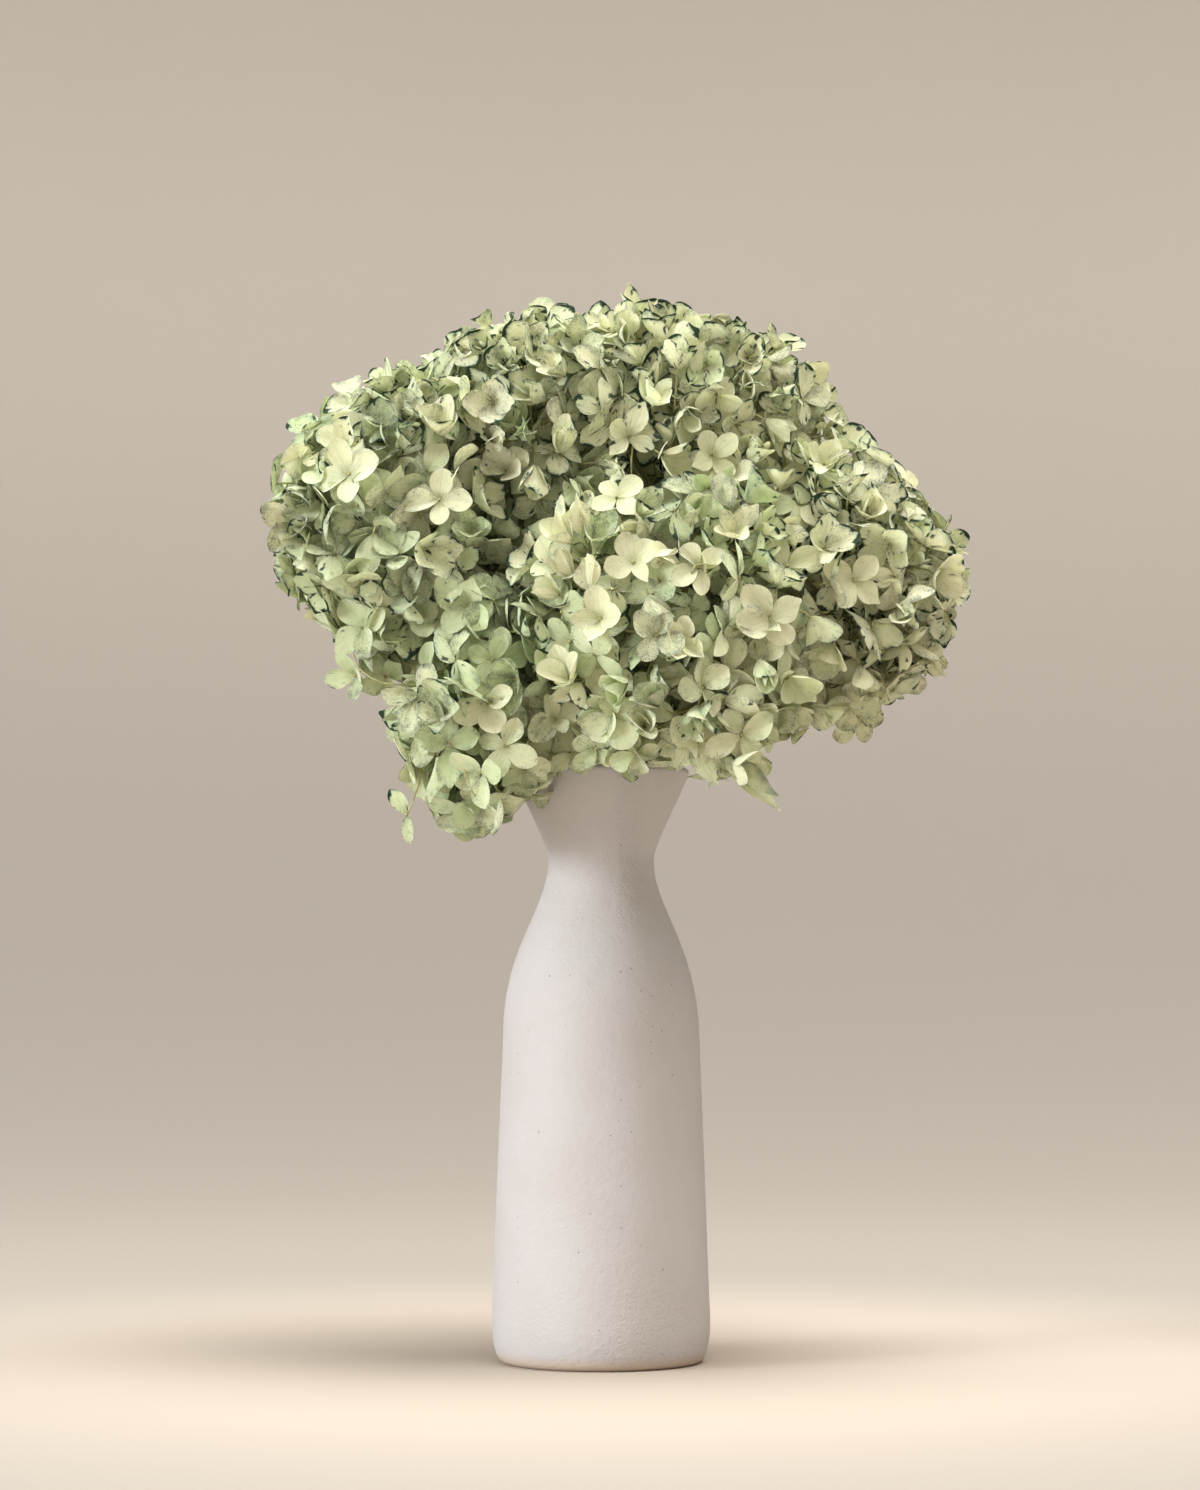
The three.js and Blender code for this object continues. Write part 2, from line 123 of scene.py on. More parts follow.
# Florets that stand out from the front, in runs on one head: across and up as the front view
# shows them in mm, where they face, how far their sepals tip up in degrees, their turn in degrees,
# their size, and how green, speckled and dark-edged they are.
MARKED_FLORETS = (
    ("top_left", (
        (-34, 393, (-0.15, -1.0, -0.05), 8, 10, 1.08, (1.0, 0.25, 0.1)),
    )),
    ("front", (
        (7, 409, (-0.1, -0.9, 0.35), 14, 40, 0.86, (0.0, 0.1, 0.0)),
        (16, 378, (0.0, -1.0, 0.3), 22, 30, 0.9, (0.0, 0.1, 0.1)),
        (47, 376, (0.15, -0.9, 0.45), 16, 20, 0.98, (0.0, 0.15, 0.1)),
        (-10, 383, (-0.6, -0.55, 0.6), 68, 15, 1.1, (0.1, 0.4, 0.3)),
        (-9, 386, (-0.3, -0.45, 1.0), 76, 0, 1.15, (0.0, 0.1, 0.2)),
        (-14, 371, (-0.6, -0.4, 0.8), 72, 30, 1.1, (0.0, 0.2, 0.2)),
        (-20, 362, (-0.8, -0.4, 0.5), 66, 10, 1.0, (0.1, 0.2, 0.2)),
        (-3, 366, (-0.2, -0.5, 0.9), 74, 60, 1.0, (0.0, 0.2, 0.2)),
        (26, 344, (0.1, -1.0, 0.05), 12, 60, 0.95, (0.2, 0.9, 0.2)),
        (0, 350, (-0.35, -0.9, 0.1), 30, 5, 0.95, (0.0, 0.1, 0.0)),
        (80, 351, (0.15, -1.0, 0.0), 10, 35, 1.1, (0.05, 0.35, 0.1)),
        (63, 394, (0.1, -0.9, 0.5), 38, 55, 1.0, (0.1, 0.4, 0.3)),
    )),
    ("top_right", (
        (50, 430, (0.1, -1.0, 0.1), 20, 25, 0.95, (0.0, 0.2, 0.2)),
    )),
    ("right", (
        (120, 370, (0.2, -1.0, 0.1), 12, 55, 1.12, (0.0, 0.3, 0.2)),
        (88, 374, (0.0, -1.0, 0.25), 14, 20, 1.05, (0.1, 0.3, 0.2)),
        (74, 362, (0.1, -1.0, 0.1), 34, 50, 1.0, (0.1, 0.4, 0.4)),
        (114, 311, (0.15, -0.9, -0.45), 12, 0, 1.0, (0.15, 0.7, 0.3)),
    )),
    ("front", (
        (65, 299, (0.1, -0.9, -0.3), 15, 30, 1.05, (0.25, 0.4, 0.1)),
        (47, 290, (0.1, -0.9, -0.4), 6, 50, 1.15, (0.1, 0.3, 0.1)),
        (38, 343, (0.0, -1.0, 0.1), 24, 70, 0.9, (0.0, 0.05, 0.0)),
    )),
    ("low_left", (
        (-57, 312, (-0.1, -1.0, 0.0), 7, 22, 0.98, (0.0, 0.1, 0.0)),
        (-46, 290, (0.05, -1.0, 0.0), 6, 62, 1.05, (0.3, 0.5, 0.3)),
        # This floret is greener, and so darker, partly as painted shade where it sits in shadow.
        (-74, 293, (0.1, -1.0, 0.05), 8, 5, 1.12, (0.7, 0.75, 0.3)),
        (-23, 285, (0.1, -1.0, -0.1), 10, 40, 0.85, (0.3, 0.5, 0.2)),
        (-24, 303, (0.15, -0.95, 0.1), 28, 20, 0.95, (0.2, 0.3, 0.1)),
        (-36, 277, (0.1, -0.95, -0.3), 14, 15, 0.85, (0.4, 0.5, 0.2)),
        (-57, 264, (-0.05, -0.85, -0.5), 8, 20, 1.05, (0.5, 0.6, 0.3)),
        (-54, 330, (-0.05, -1.0, 0.2), 12, 80, 0.82, (0.6, 0.5, 0.1)),
    )),
    ("front", (
        (-16, 322, (-0.25, -0.9, 0.3), 42, 12, 1.0, (0.05, 0.15, 0.2)),
        (5, 306, (0.0, -1.0, -0.1), 10, 30, 1.0, (0.35, 0.5, 0.2)),
        (-14, 287, (-0.1, -1.0, -0.1), 16, 25, 0.9, (0.3, 0.5, 0.3)),
        (-4, 288, (-0.1, -0.9, -0.45), 6, 44, 0.85, (0.4, 0.6, 0.3)),
        (16, 287, (0.05, -0.9, -0.4), 8, 10, 0.85, (0.4, 0.6, 0.3)),
    )),
    ("left", (
        (-79, 407, (-0.05, -1.0, 0.25), 10, 8, 1.02, (0.1, 0.3, 0.0)),
        (-98, 385, (-0.2, -0.9, 0.5), 26, 25, 1.05, (0.6, 0.8, 0.2)),
        (-79, 355, (-0.1, -0.95, 0.3), 20, 35, 1.0, (0.4, 0.6, 0.2)),
        (-117, 324, (-0.5, -0.8, -0.2), 30, 10, 0.95, (0.5, 0.7, 0.2)),
        (-104, 323, (-0.2, -0.8, -0.5), 15, 40, 0.95, (0.5, 0.6, 0.2)),
        (-112, 347, (-0.3, -0.9, 0.0), 12, 30, 1.0, (0.5, 0.6, 0.2)),
        (-88, 466, (-0.1, -0.5, 0.9), 40, 20, 1.0, (0.3, 0.6, 0.8)),
        (-103, 462, (-0.4, -0.5, 0.8), 50, 60, 1.0, (0.3, 0.5, 0.8)),
        (-119, 423, (-0.35, -0.9, 0.3), 14, 15, 1.12, (0.3, 0.4, 0.3)),
    )),
    ("top_right", (
        (37, 417, (0.1, -0.95, -0.1), 20, 35, 1.0, (0.1, 0.3, 0.3)),
        (62, 421, (0.1, -0.9, 0.3), 30, 60, 1.05, (0.1, 0.4, 0.4)),
        (82, 417, (0.2, -0.9, 0.3), 14, 10, 1.1, (0.1, 0.4, 0.6)),
        (-8, 417, (-0.1, -0.9, 0.0), 26, 20, 1.0, (0.3, 0.5, 0.3)),
        (14, 440, (0.0, -0.95, 0.1), 20, 50, 0.98, (0.1, 0.3, 0.7)),
    )),
    ("top_left", (
        (-22, 434, (-0.05, -0.9, 0.4), 60, 0, 1.1, (0.2, 0.5, 0.3)),
    )),
    ("top_right", (
        (88, 482, (0.5, -0.5, 0.7), 36, 10, 1.05, (0.2, 0.5, 0.9)),
        (97, 466, (0.7, -0.5, 0.5), 52, 40, 1.1, (0.1, 0.3, 0.7)),
        (105, 452, (0.8, -0.6, 0.3), 26, 75, 1.0, (0.2, 0.5, 0.8)),
        (110, 441, (0.8, -0.6, 0.3), 30, 20, 1.0, (0.2, 0.5, 0.8)),
    )),
    ("right", (
        (106, 426, (0.2, -0.8, 0.6), 30, 55, 1.0, (0.2, 0.4, 0.5)),
        (119, 434, (0.5, -0.5, 0.7), 34, 15, 1.05, (0.2, 0.5, 0.9)),
        (165, 388, (0.9, -0.5, 0.2), 44, 30, 1.0, (0.2, 0.5, 0.9)),
        (167, 370, (0.9, -0.5, -0.1), 30, 70, 1.0, (0.2, 0.5, 0.8)),
        (125, 303, (0.5, -0.7, -0.5), 24, 30, 1.0, (0.2, 0.5, 0.5)),
    )),
    ("top_right", (
        (6, 488, (-0.2, -0.5, 0.8), 35, 20, 1.0, (0.2, 0.5, 0.9)),
        (18, 500, (0.0, -0.3, 1.0), 40, 45, 1.0, (0.2, 0.4, 0.8)),
    )),
    ("top_left", (
        (-12, 492, (0.1, -0.4, 0.9), 30, 10, 1.0, (0.2, 0.5, 0.9)),
    )),
)

# Sepals set one by one: head, their floret's middle in mm, where it faces, then each sepal's
# turn and lift in degrees, length and width in mm, point, and look.
LONE_SEPALS = (
    ("low_left", (-90, -44, 256), (-0.35, -0.9, 0.2), (
        (30, 8, 13.5, 8.4, 0.05, (0.5, 0.6, 0.9)), (193, 14, 13.5, 6.4, 0.05, (0.5, 0.8, 0.5)))),
    ("front", (40, -74, 288), (0.1, -0.95, -0.2), (
        (212, 4, 21.0, 10.5, 0.16, (0.35, 0.5, 0.55)), (150, 10, 13.0, 8.0, 0.0, (0.3, 0.6, 0.3)))),
    ("front", (54, -72, 281), (0.2, -0.9, 0.25), (
        (237, 2, 27.0, 14.0, 0.22, (0.40, 0.95, 0.7)), (226, -14, 31.0, 9.5, 0.18, (0.3, 0.3, 0.3)))),
)

# Bare stalks: head, radius, and points in mm. The first is the one that the loose floret hangs
# from, and the others have lost theirs.
LOOSE_RADIUS, BARE_RADIUS = 0.00045, 0.0004
BARE_STALKS = (
    ("low_left", LOOSE_RADIUS, ((-70, -38, 293), (-82, -42, 281), (-85, -44, 269), (-90, -44, 256))),
    ("top_right", BARE_RADIUS, ((22, -30, 392), (15, -47, 404), (14, -50, 418), (15, -46, 431))),
    ("low_left", BARE_RADIUS, ((-78, -30, 318), (-100, -34, 318), (-112, -32, 324), (-117, -30, 333))),
    ("low_left", BARE_RADIUS, ((-60, -50, 285), (-63, -66, 277), (-60, -70, 268), (-57, -68, 262))),
)

# The vase's inner floor, and a stem's path: how far its foot stands out past its place in the
# neck and above the floor, its heights below and in the neck and over the lip, and how far out it
# may lean over the lip, all in mm. Then how far short of its head's centre it ends, as a share.
VASE_FLOOR = 8
STEM_SPREAD = 9.5
RESTS_ON_FLOOR = 0.6
STEM_HEIGHTS = (186, 241, 292)
LIP_LEAN = 13
STEM_DEPTH = 0.3


# --- Sizes and colours that a user would change ---


def length(name, description, default):
    return FloatProperty(name=name, description=description, default=default, unit="LENGTH")


def colour(name, description, default):
    return FloatVectorProperty(name=name, description=description, default=default, subtype="COLOR")


class VaseSettings(bpy.types.PropertyGroup):
    height: length("Height", "From the foot to the lip", 0.280)
    foot_radius: length("Foot radius", "Radius of the flat underside", 0.045)
    belly_radius: length("Belly radius", "Widest radius, low on the body", 0.0514)
    shoulder_radius: length("Shoulder radius", "Where the shoulder begins", 0.0466)
    neck_radius: length("Neck radius", "Narrowest radius", 0.025)
    rim_radius: length("Rim radius", "Radius of the flared lip", 0.0417)
    wall: length("Wall", "Thickness of the wall", 0.0044)
    unevenness: length("Unevenness", "How far the hand-made wall wanders", 0.0003)
    colour: colour("Clay", "Colour of the matte clay", (0.547, 0.523, 0.527))


class FloretSettings(bpy.types.PropertyGroup):
    sepal_length: length("Sepal length", "Mean length of one sepal", 0.0138)
    sepal_thickness: length("Sepal thickness", "Thickness in its middle", 0.00028)
    stalk_radius: length("Stalk radius", "Radius of a floret's stalk", 0.00045)
    tries: IntProperty(
        name="Tries", description="Ways tried for each floret to miss its neighbours", default=7
    )
    cream: colour("Cream", "Palest sepal", (0.965, 0.962, 0.778))
    green: colour("Green", "Greenest sepal", (0.76, 0.865, 0.575))
    dark: colour("Dark green", "Specks and edges", (0.016, 0.054, 0.030))


class StemSettings(bpy.types.PropertyGroup):
    radius: length("Radius", "Radius of a cut stem", 0.0028)
    bark: colour("Bark", "Colour of the dry bark", (0.20, 0.14, 0.075))


class StageSettings(bpy.types.PropertyGroup):
    camera_distance: length("Camera distance", "From the vase's axis", 1.683)
    camera_height: length("Camera height", "Above the floor", 0.179)
    camera_tilt: FloatProperty(
        name="Camera tilt", description="Upwards from level", default=math.radians(3.82), unit="ROTATION"
    )
    lens: FloatProperty(name="Lens", description="Focal length in mm on a 36 mm sensor", default=85.41)
    floor: colour("Floor", "Colour under the vase", (0.505, 0.436, 0.369))
    backdrop: colour("Backdrop", "Colour further off", (0.575, 0.520, 0.464))


# --- Mesh making ---

# What every point of a mesh says to its material: the layer's type, its field and its width.
POINT_LAYERS = {
    "place_mm": ("FLOAT_VECTOR", "vector", 3),
    "mood": ("FLOAT_COLOR", "color", 4),
    "disc": ("FLOAT_VECTOR", "vector", 3),
}
CELL_MARGIN = 0.04


class QuadMesh:
    """Collects shells of quads, each with its own squares of the texture sheet."""

    def __init__(self):
        self.rows = {name: [] for name in ("points", "quads", "corners", "slots", "sharp", *POINT_LAYERS)}
        self.count = self.cells = 0

    def add(self, points, quads, corners, slot, sharp=None, cells=1, **layers):
        """Adds many copies of one shell: points is (copies, n, 3), quads (m, 4), corners (m, 4, 3).

        The last of a corner's three numbers is which of the shell's squares it lies in.
        """
        copies, n = points.shape[:2]
        copy = np.arange(copies)[:, None, None]
        spots = np.tile(corners, (copies, 1, 1, 1))
        spots[..., 2] += self.cells + copy * cells
        rows = dict(
            points=points.reshape(-1, 3),
            quads=(quads[None] + self.count + copy * n).reshape(-1, 4),
            corners=spots.reshape(-1, 3),
            slots=np.full(copies * len(quads), slot),
            sharp=np.tile(np.zeros(n, bool) if sharp is None else sharp, copies),
        )
        for name, (_, _, width) in POINT_LAYERS.items():
            rows[name] = layers.get(name, np.zeros((copies, n, width))).reshape(-1, width)
        for name, row in rows.items():
            self.rows[name].append(row)
        self.count += copies * n
        self.cells += copies * cells

    def add_tubes(self, paths, radii, sides, slot):
        """Adds a capped tube round each path: paths is (copies, rings, 3)."""
        radii = np.broadcast_to(radii, paths.shape[:2])
        self.add(tubes(paths, radii, sides), *tube_grid(paths.shape[1], sides), slot)

    def build(self, name, materials):
        """Makes the object, with its texture squares laid out in a grid."""
        rows = {key: np.concatenate(parts) for key, parts in self.rows.items()}
        quads, corners = rows["quads"].astype(np.int32), rows["corners"]
        across = math.ceil(math.sqrt(self.cells))
        cell = corners[:, 2].astype(int)
        spot = np.stack([cell % across, cell // across], axis=1)
        uv = (spot + CELL_MARGIN + (1 - 2 * CELL_MARGIN) * corners[:, :2]) / across

        mesh = bpy.data.meshes.new(name)
        mesh.vertices.add(self.count)
        mesh.vertices.foreach_set("co", rows["points"].astype(np.float32).ravel())
        mesh.loops.add(quads.size)
        mesh.loops.foreach_set("vertex_index", quads.ravel())
        mesh.polygons.add(len(quads))
        mesh.polygons.foreach_set("loop_start", np.arange(0, quads.size, 4, dtype=np.int32))
        mesh.polygons.foreach_set("material_index", rows["slots"].astype(np.int32))
        mesh.update(calc_edges=True)
        mesh.validate()
        mesh.shade_smooth()

        mesh.uv_layers.new(name="OFBake").data.foreach_set("uv", uv.astype(np.float32).ravel())
        for layer, (kind, field, _) in POINT_LAYERS.items():
            values = rows[layer].astype(np.float32).ravel()
            mesh.attributes.new(layer, kind, "POINT").data.foreach_set(field, values)
        edge_ends = np.zeros(len(mesh.edges) * 2, np.int32)
        mesh.edges.foreach_get("vertices", edge_ends)
        on_rim = rows["sharp"][edge_ends.reshape(-1, 2)].all(axis=1)
        mesh.attributes.new("sharp_edge", "BOOLEAN", "EDGE").data.foreach_set("value", on_rim)

        for material in materials:
            mesh.materials.append(material)
        piece = bpy.data.objects.new(name, mesh)
        bpy.context.scene.collection.objects.link(piece)
        return piece


def normalised(vectors):
    return vectors / np.maximum(np.linalg.norm(vectors, axis=-1, keepdims=True), 1e-12)


def ring_quads(along, sides):
    """The quads between rings of points and their corners; along says how far up each ring is."""
    i, j = (n.ravel() for n in np.meshgrid(np.arange(len(along) - 1), np.arange(sides), indexing="ij"))
    after = (j + 1) % sides
    quads = np.stack([i * sides + j, i * sides + after, (i + 1) * sides + after, (i + 1) * sides + j], axis=1)
    left, right, low, high = j / sides, (j + 1) / sides, along[i], along[i + 1]
    spots = ((left, low), (right, low), (right, high), (left, high))
    return quads, np.stack([np.stack([u, v, 0 * u], axis=1) for u, v in spots], axis=1)


def lathe(profile, sides):
    """A line of (radius, height) turned about Z, as points, quads and corners."""
    turn = np.linspace(0, 2 * math.pi, sides, endpoint=False)
    radius, height = profile[:, :1], profile[:, 1:]
    points = np.stack([radius * np.cos(turn), radius * np.sin(turn), height + 0 * turn], axis=2)
    along = np.cumsum(np.r_[0, np.linalg.norm(np.diff(profile, axis=0), axis=1)])
    return points.reshape(-1, 3), *ring_quads(along / along[-1], sides)


def tube_grid(rings, sides):
    """The quads and corners of a tube of rings with a flat cap at each end; sides is even."""
    quads, corners = ring_quads(np.arange(rings) / (rings - 1), sides)
    cap = np.array([(0, k, k + 1, k + 2) for k in range(1, sides - 1, 2)])
    caps = np.concatenate([cap[:, ::-1], cap + (rings - 1) * sides])
    cap_corners = np.tile([0.5, 0.5, 0.0], (len(caps), 4, 1))
    return np.concatenate([quads, caps]), np.concatenate([corners, cap_corners])


def tubes(paths, radii, sides):
    """Rings round many paths: paths is (copies, rings, 3) and radii (copies, rings)."""
    tangent = normalised(np.gradient(paths, axis=1))
    steady = np.where(np.abs(tangent[..., 2:]) < 0.9, [[[0.0, 0.0, 1.0]]], [[[1.0, 0.0, 0.0]]])
    side = normalised(np.cross(tangent, np.broadcast_to(steady[:, :1], tangent.shape)))
    other = np.cross(tangent, side)
    turn = np.linspace(0, 2 * math.pi, sides, endpoint=False)[:, None]
    ring = side[:, :, None] * np.cos(turn) + other[:, :, None] * np.sin(turn)
    points = paths[:, :, None] + ring * radii[:, :, None, None]
    return points.reshape(len(paths), -1, 3)


def bezier(ends, count):
    """Points along a cubic curve with four control points, without its first point."""
    a, b, c, d = (np.array(end, float) for end in ends)
    t = np.linspace(0, 1, count + 1)[1:, None]
    return (1 - t) ** 3 * a + 3 * (1 - t) ** 2 * t * b + 3 * (1 - t) * t**2 * c + t**3 * d


def arcs(starts, bends, ends):
    """One curve for each row, of six points, with a single bend."""
    a, b, c = (rows[:, None] for rows in (starts, bends, ends))
    t = np.linspace(0, 1, 6)[None, :, None]
    return (1 - t) ** 2 * a + 2 * t * (1 - t) * b + t**2 * c


def curve_through(controls, count):
    """A smooth curve through control points, evenly spaced in parameter (Catmull-Rom)."""
    controls = np.array(controls, float)
    padded = np.concatenate([[2 * controls[0] - controls[1]], controls, [2 * controls[-1] - controls[-2]]])
    t = np.linspace(0, len(controls) - 1 - 1e-9, count)
    k = t.astype(int)
    f = (t - k)[:, None]
    a, b, c, d = padded[k], padded[k + 1], padded[k + 2], padded[k + 3]
    return 0.5 * (2 * b + (c - a) * f + (2 * a - 5 * b + 4 * c - d) * f**2 + (3 * b - a - 3 * c + d) * f**3)


# --- Materials ---

# Colours that a sepal, a stalk and the clay turn to in places.
CLAW_GREEN, VEIN_GREEN, RIM_PALE, INK_HAZE = (
    (0.60, 0.64, 0.31), (0.50, 0.56, 0.28), (0.90, 0.90, 0.78), (0.30, 0.44, 0.27),
)
STALK_DARK, STALK_PALE = (0.34, 0.33, 0.14), (0.54, 0.54, 0.27)
EYE_DARK, EYE_PALE = (0.20, 0.20, 0.07), (0.50, 0.47, 0.20)
PINHOLE_BROWN, FOOT_SAND, FLOOR_CLOUD = (0.24, 0.20, 0.18), (0.60, 0.48, 0.37), (0.3, 0.26, 0.22)
# The last of these is painted shade: how dark the floor far from the vase is painted, as a share of the
# backdrop's colour.
WARM_CLAY, PALE_BARK, FAR_FLOOR_PAINTED_SHADE = (0.97, 0.945, 0.93), 2.1, 0.62

# How much of a sepal's light comes through it.
THROUGH = 0.38


class Value:
    """A number or a colour that varies over a surface, with plain arithmetic."""

    def __init__(self, finish, socket):
        self.finish, self.socket = finish, socket

    def __add__(self, other):
        return self.finish.math("ADD", self, other)

    def __sub__(self, other):
        return self.finish.math("SUBTRACT", self, other)

    def __rsub__(self, other):
        return self.finish.math("SUBTRACT", other, self)

    def __mul__(self, other):
        return self.finish.math("MULTIPLY", self, other)

    def __pow__(self, other):
        return self.finish.math("POWER", self, other)

    def __abs__(self):
        return self.finish.math("ABSOLUTE", self)


class Finish:
    """Builds one procedural material, a node at a time."""

    def __init__(self, name):
        self.material = bpy.data.materials.new(name)
        self.material.use_nodes = True
        self.tree = self.material.node_tree
        self.tree.nodes.clear()
        self.output = self.tree.nodes.new("ShaderNodeOutputMaterial")
        self.shader = self.tree.nodes.new("ShaderNodeBsdfPrincipled")
        self.tree.links.new(self.shader.outputs[0], self.output.inputs["Surface"])

    def feed(self, node, inputs):
        """Sets or links a node's inputs, by name or place."""
        for name, value in inputs.items():
            socket = node.inputs[name]
            if isinstance(value, Value):
                self.tree.links.new(value.socket, socket)
            else:
                socket.default_value = (*value, 1) if socket.type == "RGBA" else value

    def node(self, kind, inputs, output=0, **traits):
        """Adds a node and gives one of its outputs."""
        node = self.tree.nodes.new(kind)
        for trait, value in traits.items():
            setattr(node, trait, value)
        self.feed(node, inputs)
        return Value(self, node.outputs[output])

    def math(self, operation, *values):
        return self.node("ShaderNodeMath", dict(enumerate(values)), operation=operation)

    def attribute(self, name, output="Vector"):
        """The three numbers of a layer of the mesh."""
        return self.split(self.node("ShaderNodeAttribute", {}, output, attribute_name=name))

    def coordinates(self):
        return self.node("ShaderNodeTexCoord", {}, "Object")

    def split(self, vector):
        x = self.node("ShaderNodeSeparateXYZ", {0: vector})
        return [Value(self, output) for output in x.socket.node.outputs]

    def join(self, x, y, z):
        return self.node("ShaderNodeCombineXYZ", {0: x, 1: y, 2: z})

    def noise(self, vector, scale, detail=2.0, roughness=0.5):
        inputs = {"Vector": vector, "Scale": scale, "Detail": detail, "Roughness": roughness}
        return self.node("ShaderNodeTexNoise", inputs, "Fac")

    def cells(self, vector, scale):
        """How far the nearest of many scattered points is, and that point's random number."""
        distance = self.node("ShaderNodeTexVoronoi", {"Vector": vector, "Scale": scale}, "Distance")
        return distance, self.split(Value(self, distance.socket.node.outputs["Color"]))[0]

    def step(self, value, low, high):
        """Rises smoothly from 0 to 1 as value goes from low to high."""
        inputs = {"Value": value, "From Min": low, "From Max": high}
        return self.node("ShaderNodeMapRange", inputs, interpolation_type="SMOOTHSTEP")

    def mix(self, amount, a, b):
        return self.node("ShaderNodeMix", {"Factor": amount, 6: a, 7: b}, 2, data_type="RGBA")

    def bump(self, height, distance, strength):
        inputs = {"Strength": strength, "Distance": distance, "Height": height}
        normal = self.node("ShaderNodeBump", inputs)
        self.feed(self.shader, {"Normal": normal})
        return normal


def sepal_finish(settings):
    """Pale sepals with radiating veins, a fine dusting of dark specks, and inked edges."""
    f = Finish("sepal")
    x, y, seed = f.attribute("place_mm")
    _, tipward, rim = f.attribute("disc")
    greenness, speckled, inked = f.attribute("mood", "Color")

    # Veins fan out from a point just behind the sepal's base.
    behind = y + 3.0
    angle = f.math("ARCTAN2", x, behind)
    reach = f.math("SQRT", x * x + behind * behind)
    off_vein = abs(f.noise(f.join(angle * 7.0, reach * 0.13, seed), 1.3, 1.0) - 0.5)
    midrib = 1.0 - f.step(abs(x), 0.1, 0.5)
    vein = f.math("MAXIMUM", 1.0 - f.step(off_vein, 0.0, 0.04), midrib * 0.8)

    here = f.join(x, y, seed)
    grain = f.noise(here, 2.7, 2.0, 0.6)
    patch = f.noise(here, 0.15, 1.0) - 0.5
    streak = f.noise(f.join(angle * 9.0, reach * 0.3, seed), 1.0, 1.0) - 0.5
    ruffle = grain - 0.5

    base = f.mix(f.step(greenness + patch * 0.7, -0.1, 1.1), settings.cream, settings.green)
    claw = 1.0 - f.step(reach, 2.5, 8.5)
    base = f.mix(claw * 0.5, base, CLAW_GREEN)
    base = f.mix(vein * 0.16, base, VEIN_GREEN)
    base = f.mix(rim**6.0 * 0.25, base, RIM_PALE)

    # Specks: fine dots, thicker in patches, along the rays between veins and towards the rim.
    density = speckled + patch * 1.8 + streak * 1.1 + (rim * rim - 0.7) * 0.5
    line = 0.68 - density * 0.22
    specks = f.step(grain, line, line + 0.09) * 0.53

    # Ink: dark edges that thicken and thin over part of the tip, brushed inwards along the rays,
    # with a green haze inside them, and small long blots.
    along_edge = f.noise(f.join(angle * 2.2, seed, 3.0), 1.0, 2.0)
    start = 0.76 - inked * 0.37
    thick = f.step(along_edge, start, start + 0.24)
    brush = f.step(streak + 0.5, 0.50, 0.78) * 0.16
    at_tip = f.step(tipward, 0.2, 0.9) * 0.21
    edge = thick * (at_tip + 0.06 + brush) - (1.0 - (rim + ruffle * 0.20))
    where = f.step(tipward, -0.05, 0.45) * f.step(thick, 0.02, 0.12)
    haze = f.step(edge, -0.24, 0.02) * where
    base = f.mix(haze * 0.34, base, INK_HAZE)
    edge = f.step(edge, -0.03, 0.04) * where
    blot = f.noise(f.join(angle * 5.0, reach * 0.16, seed + 40.0), 1.0, 1.0) + ruffle * 0.22
    line = 0.80 - inked * 0.20
    blot = f.step(blot, line, line + 0.06) * f.step(rim, 0.35, 0.7)
    ink = f.math("MAXIMUM", edge * 0.93, blot * 0.90)
    colour = f.mix(f.math("MAXIMUM", specks, ink), base, settings.dark)

    normal = f.bump(grain * 0.35 - vein * 0.6, 0.00022, 0.6)
    f.feed(f.shader, {
        "Base Color": colour,
        "Roughness": grain * 0.16 + 0.55,
        "Specular IOR Level": (1.0 - ink) * 0.25,
        "Diffuse Roughness": 1.0,
    })
    through = f.node("ShaderNodeBsdfTranslucent", {"Color": colour, "Normal": normal})
    both = {0: THROUGH, 1: Value(f, f.shader.outputs[0]), 2: through}
    f.feed(f.output, {"Surface": f.node("ShaderNodeMixShader", both)})
    return f.material


def stalk_finish():
    """Dry, dull green-brown stalks inside a head."""
    f = Finish("stalk")
    place = f.coordinates()
    tone = f.step(f.noise(place, 160.0), 0.35, 0.65)
    f.feed(f.shader, {"Base Color": f.mix(tone, STALK_DARK, STALK_PALE), "Roughness": 0.8})
    f.bump(f.noise(place, 900.0), 0.0001, 0.5)
    return f.material


def eye_finish():
    """The tiny dried flower in the middle of a floret."""
    f = Finish("eye")
    tone = f.noise(f.coordinates(), 700.0)
    f.feed(f.shader, {"Base Color": f.mix(f.step(tone, 0.4, 0.6), EYE_DARK, EYE_PALE), "Roughness": 0.7})
    f.bump(tone, 0.0002, 0.6)
    return f.material


